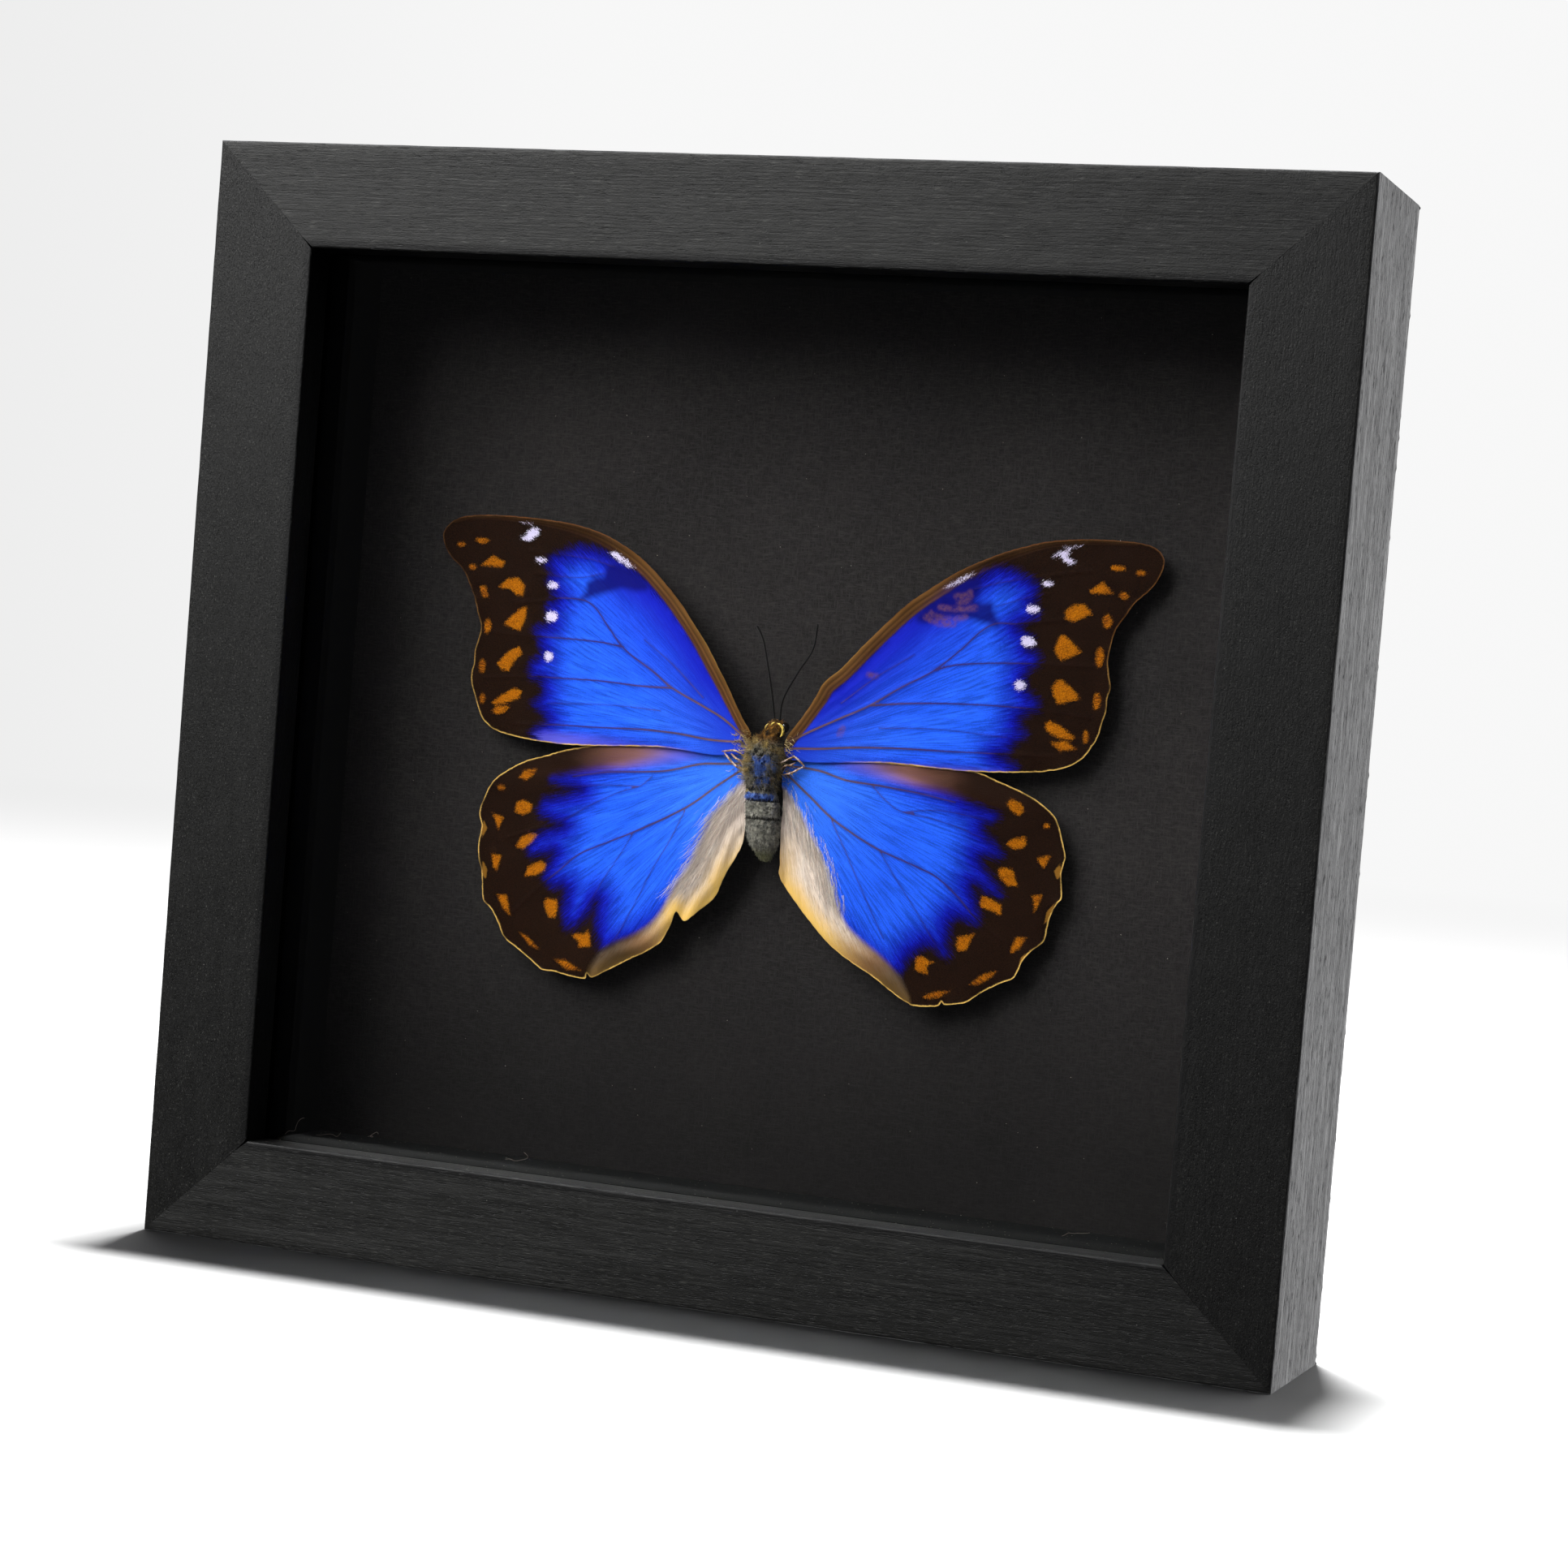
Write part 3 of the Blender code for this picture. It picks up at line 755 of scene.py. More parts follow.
FOREWING_LEFT = {
    "outline": (
        (-2.4, 0.4), (-4.2, 3.0), (-7, 7.4), (-10, 12), (-13, 16.2), (-16, 19.8), (-20, 24), (-25, 28.2),
        (-30, 31.1), (-35, 33), (-40, 34), (-46, 34.5), (-52, 34.7), (-57, 34.6), (-60.5, 34.2),
        (-63.2, 33.3), (-64.8, 32), (-65.3, 30.6), (-64.7, 28.8), (-63.4, 27), (-60.5, 24.6),
        (-58.6, 21.4), (-57.1, 17.6), (-56.2, 14.7), (-57.1, 11), (-57.1, 9), (-57.5, 7), (-57.4, 5.4),
        (-56.6, 3.2), (-54.9, -0.4), (-53.2, -2), (-51, -2.9), (-48, -3.4), (-44, -3.8), (-39, -4),
        (-34, -3.9), (-24, -3.2), (-19, -3), (-14, -3.2), (-9, -3.5), (-6, -3.2), (-3.2, -2.6),
    ),
    "field": (
        (-3.8, -0.6), (-6.6, 4.6), (-10, 10), (-13.5, 14.8), (-17.5, 19.2), (-21, 22.4), (-25, 25.2),
        (-29, 27.4), (-33, 29.4), (-37.5, 30.1), (-40.5, 29.2), (-43.5, 27.8), (-44.2, 26.5), (-43, 25.4),
        (-43.6, 24), (-42.6, 22), (-41.8, 20.8), (-43.5, 19.5), (-43, 16.5), (-45.5, 15.5), (-44.8, 14.2),
        (-44.5, 13), (-44, 11), (-45.8, 9.5), (-45.5, 7.2), (-43.6, 6.5), (-43.3, 4), (-44.8, 2.6),
        (-43.3, 1.5), (-42, 0), (-43.4, -1.5), (-44.6, -2.5), (-43.5, -4), (-42, -6), (-8, -6), (-3.6, -3.4),
    ),
    "patch": (
        (-24.5, 24.2), (-28, 26.4), (-31.8, 27.2), (-32.4, 26.2), (-32.8, 25), (-34.3, 24.8),
        (-35.8, 23.8), (-35.8, 22.5), (-36.8, 21.3), (-35, 21.9), (-32, 23), (-29, 23.8), (-26.5, 23.5),
    ),
    "white": (
        ((-46.1, 32.8), (-47.5, 33), (-48.6, 32.2), (-48.8, 31.5), (-49.8, 31.4), (-49.3, 30.6),
         (-47.5, 30.6), (-46, 31.8)),
        ((-50, 33.7), (-47.6, 33.7), (-47.6, 33.4), (-50, 33.5)),
        ((-32.5, 29.4), (-31, 29.8), (-28.5, 28.3), (-27, 27), (-28.5, 27.2), (-31, 28.4)),
    ),
    "white_ovals": (
        (-45.3, 27.4, 2.4, 1.1), (-42.6, 23.2, 2.4, 1.4), (-42.4, 17.8, 2.6, 2), (-42.4, 10.9, 2, 1.8),
    ),
    "orange": (
        ((-57.2, 25.8), (-55, 27.6), (-52.3, 26.7), (-53, 25.7)),
        ((-53.3, 22.2), (-51.6, 23.8), (-49.6, 24.1), (-48.1, 22.8), (-48.4, 20.9), (-49.8, 21.2),
         (-51, 22)),
        ((-51.9, 15.9), (-49, 18.6), (-47.4, 19.2), (-47.5, 17.2), (-48.3, 15), (-49.7, 15.2)),
        ((-52.6, 9), (-50.2, 11.4), (-48.2, 12.2), (-47.7, 11), (-49.3, 9.3), (-50.1, 7.8), (-51.6, 8)),
        ((-53, 2.1), (-51.2, 3.6), (-48.6, 5), (-47.2, 4.6), (-47.6, 3.3), (-50.3, 2.2), (-52.6, 1.7)),
        ((-53.2, 0.6), (-51.8, 1.6), (-49.4, 1.7), (-50.2, 0.7), (-51.8, 0.1)),
        ((-57.2, 22.1), (-55.9, 22.3), (-55.1, 20.2), (-56.3, 20.3)),
    ),
    "orange_ovals": (
        (-57.3, 30.1, 2.8, 0.9), (-61.4, 29.2, 1.6, 0.8), (-58.8, 25.4, 1.5, 1.0), (-54.9, 15.3, 1.5, 2.6),
        (-55.4, 8.3, 1.3, 2.4), (-54.9, 2.7, 1.0, 1.9),
    ),
    "veins": (
        ((-4, 0.2), (-8, 2.8), (-12, 4.6), (-18, 7.2), (-22, 9.8), (-27.5, 13), (-31, 16.5), (-34, 19.8),
         (-36.4, 21), (-41, 21.1), (-43, 20.6), (-50, 19.8)),
        ((-28, 13.5), (-32, 14), (-38, 14.2), (-45, 14.2), (-54, 14.4)),
        ((-18, 7.2), (-24, 7.1), (-32, 7.4), (-40, 7.3), (-46, 7.2), (-55, 6.4)),
        ((-4, -0.9), (-10, -1), (-17, -0.4), (-24, -0.3), (-32, -0.6), (-40, -0.8), (-48, -1.2)),
    ),
    "hair_veins": (
        ((-31, 27), (-35, 28), (-40, 28.5), (-48, 29)), ((-33, 25.8), (-38, 24.8), (-46, 25)),
        ((-20, 3.2), (-30, 3.4), (-42, 2.8)), ((-12, 6), (-18, 11), (-24, 15)),
    ),
    "rubbed": (),
}
FOREWING_RIGHT = {
    "outline": (
        (4, 0.2), (6, 3.4), (8.6, 7.8), (9.8, 10.2), (12.5, 12.8), (16, 16.8), (20, 21.2), (24, 25),
        (28, 28), (32, 30.6), (36, 32.6), (41, 34.7), (46, 36.2), (51, 36.9), (56, 37.2), (61, 37.1),
        (63.8, 36.6), (65.4, 35.4), (65.9, 33.8), (65.4, 32), (64.3, 30), (61.6, 27.2), (60.1, 24.8),
        (58.8, 22.8), (58, 19), (57.9, 17), (58.3, 15), (58.7, 13.2), (58.3, 11.5), (58.3, 9.5),
        (57.8, 7.5), (57.2, 5), (56.2, 3), (54.9, 1.2), (53, -0.2), (50, -1.2), (46, -1.8), (40, -2.3),
        (34, -2.5), (22, -2.3), (16, -2.7), (10, -3.2), (7, -3.3), (4.2, -2.6),
    ),
    "field": (
        (4.8, -0.5), (9, 6), (12, 10.2), (16, 15), (20, 19.4), (24.5, 23.4), (29, 26.4), (34, 28.8),
        (36.5, 30.8), (39.3, 31.4), (42, 30.7), (44.8, 29.2), (45, 27.2), (44.6, 26), (45.6, 24.6),
        (43.8, 22.8), (42.5, 21.8), (44.8, 20.4), (44.3, 18.6), (46.4, 17.3), (46, 16.2), (44.6, 15),
        (44.2, 13.2), (45, 11.2), (46.8, 9.8), (46.6, 8.8), (44.5, 7.8), (43.8, 6), (45, 4.4), (43, 2.8),
        (42.5, 1.2), (41, 0.6), (42.8, -0.4), (44, -1.3), (43, -2.3), (41, -5), (8, -6), (4.2, -3.4),
    ),
    "patch": (
        (34.8, 28.9), (35, 26.8), (34.5, 25.6), (36, 25.2), (37.6, 25.3), (37.8, 24), (38.4, 23.1),
        (38.8, 22), (36.5, 22.5), (33, 23), (30, 22.9), (27, 21.8), (25, 22.2), (28, 26), (31.5, 28.4),
    ),
    "white": (
        ((46.9, 33.6), (48.3, 34.9), (50.1, 35.2), (49.8, 34.1), (51.2, 33.2), (50.4, 32.5),
         (49.2, 33), (48.4, 33.9)),
        ((48.8, 35.5), (52, 36.1), (52, 35.8), (49, 35.2)),
        ((29, 27.3), (31, 28.8), (33.2, 30.1), (34.4, 30.3), (32.5, 28.8), (31.2, 28)),
    ),
    "white_ovals": (
        (46.8, 29.4, 2.2, 1.2), (44.7, 25, 2.6, 1.5), (44.3, 19.6, 2.6, 2), (43.5, 12.4, 2.2, 1.8),
    ),
    "orange": (
        ((53.8, 28.7), (56, 30.3), (57.8, 28.6), (54.5, 28.2)),
        ((50, 25), (51.4, 26.2), (53.2, 26.5), (54.6, 25), (53.2, 24.2), (51.4, 23.4), (50.2, 23.8)),
        ((48.8, 19), (49.6, 21), (50.4, 21.2), (51.5, 20.2), (53.4, 18.6), (51.6, 17.6), (50, 17), (49, 18)),
        ((48.9, 12.6), (49.6, 13.6), (50.4, 13.9), (52.5, 12.4), (53.8, 11), (51.5, 10.2), (50, 9.8),
         (49.2, 11.2)),
        ((48.1, 6.3), (49, 7), (51, 6.2), (53.3, 4.6), (53, 4.1), (50.5, 4.3), (48.6, 5.2)),
        ((49.5, 3.4), (51.8, 3.9), (53.8, 2.7), (51, 2.1)),
    ),
    "orange_ovals": (
        (58.3, 32.7, 2.5, 0.9), (62.2, 32.2, 1.7, 0.8), (59.7, 28.3, 1.6, 1.2), (57.3, 23.9, 1.6, 2.3),
        (56.5, 18, 1.4, 3.4), (56.6, 10.8, 1.3, 2.8), (55.2, 4.8, 0.9, 2.2),
    ),
    "veins": (
        ((4.6, -0.2), (8, 1.8), (13, 4.4), (18, 7), (23, 10.3), (28.5, 13.6), (33, 17.5), (36, 20.6),
         (38.6, 22.2), (42, 22.4), (46, 23), (50, 23.6)),
        ((28.5, 13.6), (32, 14.8), (37, 15.5), (42, 15.9), (48, 16.2), (56, 16.4)),
        ((18, 7), (24, 7.8), (30, 8.3), (36, 8.6), (42, 8.7), (48, 8.6), (56, 8)),
        ((4.2, -1.3), (10, -0.9), (16, -0.2), (24, 0.3), (32, 0.5), (40, 0.8), (50, 1.2)),
    ),
    "hair_veins": (
        ((34.5, 27.6), (39, 29), (46, 30.5), (54, 32)), ((38.4, 25), (43, 26.6), (47, 27.6)),
        ((20, 3.4), (30, 4), (42, 3.6)), ((13, 7), (19, 12), (25, 16)),
    ),
    "rubbed": (
        ((26.5, 22.4), (27.5, 21.9), (29.2, 21.5), (31.3, 21.6)), ((27.3, 23.1), (28.6, 22.5), (30.4, 22.4)),
        ((28.8, 24.2), (31, 24.1), (34.8, 24.5)), ((31.6, 22.4), (33.2, 22.9)), ((32, 25.3), (33.6, 25.8)),
        ((31.5, 26.2), (33.8, 26.5)), ((33.2, 25.1), (33.8, 27)), ((13.2, 1.8), (13.6, 2.9)),
        ((17.4, 12.1), (18.6, 12)),
    ),
}
HINDWING_LEFT = {
    "outline": (
        (-3.2, -4), (-6, -2.6), (-12, -2), (-20, -2.2), (-28, -2.8), (-33, -3.8), (-38, -5), (-42, -6.3),
        (-46, -7.6), (-49.5, -9.6), (-52, -11.8), (-53.5, -15), (-54, -17.4), (-53.3, -19.7), (-53.7, -23),
        (-53.4, -25.3), (-52.7, -27.2), (-52.4, -30.1), (-51.9, -32.4), (-50, -34), (-48.5, -36.3),
        (-47.1, -38.6), (-43.8, -40.5), (-41.2, -42), (-39.2, -43.3), (-36.7, -43.4), (-34.2, -43.8),
        (-30.6, -44), (-30.3, -43), (-29.4, -43.7), (-26.7, -42.2), (-22.5, -39.7), (-20, -38.4),
        (-17.1, -36.5), (-16.2, -35.1), (-15, -32.6), (-14.2, -30.7), (-12.7, -32.2), (-10, -29.9),
        (-7.7, -27.6), (-6.7, -25.5), (-5.8, -23.2), (-4.4, -20.7), (-3.3, -18.4), (-2.9, -15.5),
        (-2.6, -11.8), (-3.3, -7),
    ),
    "field": (
        (-3, -5), (-3, -1), (-20, -1), (-26, -3.4), (-31, -5.6), (-36, -8.2), (-40.5, -10.2), (-37, -11.2),
        (-34.6, -11.6), (-38, -12.8), (-41.6, -14.2), (-42.2, -16.2), (-40, -17.2), (-37.6, -18),
        (-41, -19.4), (-43.6, -21.4), (-43.4, -23.6), (-41, -23.2), (-38.8, -22.8), (-39.6, -25),
        (-40.2, -27.4), (-38.4, -28.8), (-36, -28.9), (-36, -32), (-35.2, -35.4), (-32.6, -34.4),
        (-30.8, -32.2), (-29.5, -30.4), (-29.4, -34), (-27.8, -38.4), (-25.5, -38), (-20, -36), (-10, -28),
        (-3, -14),
    ),
    "fold": (
        (-3, -7), (-5.5, -9.5), (-9, -13.8), (-10.2, -17), (-12, -21.5), (-14.2, -25), (-15.5, -27.5),
        (-17.3, -31), (-19.5, -33.5), (-22.5, -35.5), (-25.5, -37), (-28.6, -39.4), (-30, -44), (-20, -50),
        (2, -40), (2, -10),
    ),
    "costal": ((-8, -4.8), (-36, -9.6)),
    "white": (),
    "white_ovals": (),
    "orange": (
        ((-46.7, -10.5), (-45.8, -9.1), (-43.3, -8.6), (-43.8, -9.8), (-45.2, -10.8)),
        ((-47.1, -16.5), (-46.8, -14.8), (-45.6, -14.3), (-43.6, -14.9), (-43.9, -16.2), (-45.2, -16.9)),
        ((-46.3, -22.6), (-45.4, -20.8), (-43.6, -19.9), (-42.2, -20), (-43.3, -21.6), (-44.8, -22.8)),
        ((-44, -27.5), (-43.6, -25.8), (-41.2, -24.5), (-40, -25), (-40.3, -26.2), (-42, -27.1)),
        ((-39.9, -31.4), (-39.3, -30.9), (-37.4, -31), (-37.1, -32.2), (-37.4, -34), (-38.6, -34.1),
         (-39.4, -33)),
        ((-33.9, -37), (-32.8, -36.4), (-31.4, -36.3), (-30.7, -35.5), (-30.3, -36.5), (-30, -38.3),
         (-31.3, -38.5), (-32.3, -38.7), (-32.4, -37.6)),
        ((-51.5, -17.1), (-49.1, -17.6), (-50, -19.8)),
        ((-50.9, -24.2), (-48.9, -24.3), (-49.6, -27), (-50.5, -26.4)),
        ((-49.3, -31.2), (-47.3, -31), (-46.4, -34.6), (-47.8, -33.6)),
        ((-44.2, -37.3), (-42.4, -38), (-40.1, -39.8), (-42, -39.4)),
        ((-36.9, -41.3), (-34.6, -41.2), (-31.5, -42.6), (-34.2, -42.8)),
    ),
    "orange_ovals": ((-50, -12.5, 1.5, 1.0),),
    "crescents": (
        ((-53, -18.4), (-52.1, -19.9), (-53, -21.6), (-53.6, -20)),
        ((-52.6, -25.4), (-51.5, -27), (-51.7, -28.9), (-52.6, -28)),
        ((-50.2, -33.4), (-48.2, -36), (-47.5, -37.6), (-49, -36)),
    ),
    "veins": (
        ((-4.5, -4.6), (-8, -4.9), (-12, -5.3), (-18, -6.9), (-24, -7.6), (-30, -8.2), (-36, -9.4)),
        ((-4, -5.6), (-8, -8.4), (-13, -12.3), (-18, -15.2), (-24, -18.2), (-30, -20.9), (-34, -22.9),
         (-37.5, -26), (-41, -29), (-46, -34)),
    ),
    "hair_veins": (
        ((-20.8, -8.2), (-23, -10), (-27, -11.4), (-33, -14.5), (-38, -17.5), (-48, -21)),
        ((-23.5, -18.2), (-26, -22.5), (-28.5, -26.5), (-30.6, -30.5), (-35, -38)),
        ((-14, -13.5), (-16.5, -19), (-19.5, -24.5), (-22, -30), (-25, -36), (-26.5, -38)),
        ((-23, -10), (-30, -10.4), (-40, -11.8)),
    ),
}
HINDWING_RIGHT = {
    "outline": (
        (4, -4.5), (10, -2.8), (20, -2.3), (30, -2.3), (36, -2.4), (37.9, -2.6), (42, -4), (44.9, -5),
        (47.9, -6.3), (50.5, -8.2), (51.5, -9.5), (53.4, -15), (53.2, -16.3), (52.9, -18), (53.4, -22),
        (52.6, -23.1), (51.5, -25.7), (51.1, -28.6), (50.7, -29.7), (49, -31.2), (47.7, -32.9), (46.9, -35),
        (46.2, -36.1), (44.5, -36.9), (41.1, -38.9), (39, -40.6), (37.3, -41.2), (34.8, -41.6),
        (34.4, -41.1), (33.9, -41.9), (30, -42.3), (28.3, -41.8), (25.8, -40.6), (21.5, -38), (19, -36.7),
        (16, -35), (13.9, -33.5), (10, -30.1), (7.5, -27.4), (4.9, -24.4), (4.1, -22.7), (4.1, -21),
        (3.8, -15), (3.9, -10.8),
    ),
    "field": (
        (3.4, -5), (3, -1), (20, -1), (28, -3.6), (33, -5.6), (36.5, -7.6), (41.5, -9.4), (39, -11.2),
        (39.8, -12.9), (42.6, -15.9), (39, -16.3), (39.8, -18.4), (43, -22.5), (38.1, -21), (38.6, -23.5),
        (39.4, -27.4), (35.6, -27), (34.5, -30), (34.7, -33.7), (33, -32.5), (30.9, -32), (27.9, -34.6),
        (27.1, -36.9), (25, -37.4), (19, -35), (10, -28), (3, -14),
    ),
    "fold": (
        (3.2, -7.6), (4.9, -8.6), (7.5, -12), (9.6, -15.4), (11.7, -18.4), (13, -21.4), (14.3, -24.4),
        (15.6, -27.4), (17.3, -30), (19.8, -32), (23.2, -34.2), (25.8, -36.3), (27.6, -38.4), (29, -43),
        (20, -50), (0, -40), (0, -10),
    ),
    "costal": ((10, -4.2), (36.5, -8)),
    "white": (),
    "white_ovals": (),
    "orange": (
        ((42.8, -7.2), (43.4, -6.4), (45.2, -6.9), (45.9, -8.2), (45, -9.1), (43.6, -8.4)),
        ((43.1, -14), (44, -13), (46.4, -12.5), (46.6, -13.8), (46, -14.4), (44.4, -14.6)),
        ((42.1, -18.4), (43, -17.9), (44.6, -18), (45.7, -20.7), (44, -20.8), (42.6, -19.6)),
        ((39.5, -24.2), (39.8, -22.9), (41.6, -23.3), (43.2, -24.1), (43.3, -25.8), (41.4, -25.2),
         (39.7, -24.7)),
        ((36.2, -31.8), (36.3, -30), (37.4, -29.8), (39, -29.3), (38.4, -30.8), (37.8, -32.2),
         (36.6, -32.4)),
        ((29.3, -36.2), (29.6, -34), (30.6, -33.9), (31.6, -34.5), (32.6, -34.6), (31.4, -35.4),
         (31.6, -36.8), (30.4, -36.6)),
        ((48.6, -15.8), (50.9, -15.1), (50, -17.5)),
        ((48.3, -22), (50, -21.8), (49.6, -23.4), (48.9, -24.8)),
        ((46.3, -29.1), (47.9, -29.1), (47, -30.9), (45.6, -32), (45.4, -31)),
        ((39, -37.7), (41, -35.9), (43.5, -35), (42.4, -36.3), (40.4, -37.8)),
        ((31.1, -40.5), (33, -39.6), (35.7, -39.2), (34, -40.4), (32, -40.9)),
    ),
    "orange_ovals": ((49.8, -10.3, 1.2, 0.9),),
    "crescents": (
        ((52.6, -16.2), (51.6, -17.6), (52.3, -19.2), (53, -18)),
        ((52.4, -22.8), (51, -24.4), (50.6, -26.8), (51.7, -25.6)),
        ((49, -30.8), (47.3, -32.4), (46.8, -34.9), (47.9, -33)),
    ),
    "veins": (
        ((4.5, -4.2), (10, -4.6), (15, -5.8), (21, -6.2), (28, -6.9), (34, -7.8)),
        ((4.5, -5.8), (9, -9.3), (13, -12.4), (18, -15.2), (22, -17), (28, -19), (32, -20.6), (36, -23.7),
         (38.5, -26.2), (44, -30)),
    ),
    "hair_veins": (
        ((19.5, -6.3), (22, -8.5), (25, -10.2), (31, -11), (37, -12.6), (46, -16)),
        ((22, -17.4), (25, -21.6), (28.5, -26), (32, -31), (34.5, -34.5)),
        ((13, -12.8), (16, -18), (19, -23.5), (21.5, -28), (23.5, -31.5)),
        ((25, -10.2), (32, -9.4), (40, -10.4)),
    ),
}


def smooth_path(points, step, closed=False):
    """Points every step along a smooth curve through the given ones."""
    knots = np.array(points, float)
    count = len(knots) if closed else len(knots) - 1
    before = np.roll(knots, 1, 0) if closed else np.vstack((2 * knots[0] - knots[1], knots))
    after = np.roll(knots, -1, 0) if closed else np.vstack((knots[1:], 2 * knots[-1] - knots[-2]))
    made = []
    for index in range(count):
        start, end = knots[index], knots[(index + 1) % len(knots)]
        pull_out = (end - before[index]) / 2
        pull_in = (after[(index + 1) % len(knots)] - start) / 2
        length = np.linalg.norm(end - start)
        for arm in (pull_out, pull_in):
            arm *= min(1.0, 1.1 * length / max(np.linalg.norm(arm), 1e-9))
        share = np.linspace(0, 1, max(2, round(length / step) + 1))[:-1, None]
        square, cube = share ** 2, share ** 3
        made.append(
            (2 * cube - 3 * square + 1) * start + (cube - 2 * square + share) * pull_out
            + (3 * square - 2 * cube) * end + (cube - square) * pull_in
        )
    return np.vstack(made if closed else made + [knots[-1:]])


def distance_to(points, line):
    """Distance from each point to the nearest place on a line."""
    best = np.full(len(points), 1e9)
    for start, end in zip(line[:-1], line[1:]):
        run = end - start
        share = np.clip(((points - start) @ run) / max(run @ run, 1e-9), 0, 1)
        best = np.minimum(best, np.linalg.norm(points - start - share[:, None] * run, axis=1))
    return best


def depth_inside(points, outline):
    """Distance from a closed outline, positive inside it."""
    closed = np.vstack((outline, outline[:1]))
    inside = np.zeros(len(points), bool)
    for (x1, z1), (x2, z2) in zip(closed[:-1], closed[1:]):
        if z1 != z2:
            crossed = (z1 > points[:, 1]) != (z2 > points[:, 1])
            inside ^= crossed & (points[:, 0] < (x2 - x1) * (points[:, 1] - z1) / (z2 - z1) + x1)
    return np.where(inside, 1, -1) * distance_to(points, closed)


def oval(x, z, width, height):
    """A rounded spot a little narrower towards the wing tip."""
    turn = np.linspace(0, 2 * np.pi, 14, endpoint=False)
    return np.c_[x + width / 2 * np.cos(turn), z + height / 2 * np.sin(turn) * (1 - 0.15 * np.cos(turn))]


def deepest(points, outlines):
    """Depth inside whichever of several spots a point is in or nearest to."""
    best = np.full(len(points), -9.0)
    for outline in outlines:
        best = np.maximum(best, depth_inside(points, np.array(outline, float)))
    return best


def nearest_vein(points, lines, thick, thin):
    """Distance beyond the edge of the nearest vein, each tapering away from the wing base."""
    best = np.full(len(points), 9.0)
    for line in lines:
        path = smooth_path(line, SCALE_STEP)
        taper = np.clip(np.abs(points[:, 0]) / 50, 0, 1)
        best = np.minimum(best, distance_to(points, path) - thick + (thick - thin) * taper)
    return best


def soft(points, pitch, seed):
    """Smooth noise between about -1 and 1 at each point."""
    return np.array([noise.noise(Vector((x / pitch, z / pitch, seed))) for x, z in points]) * 1.6


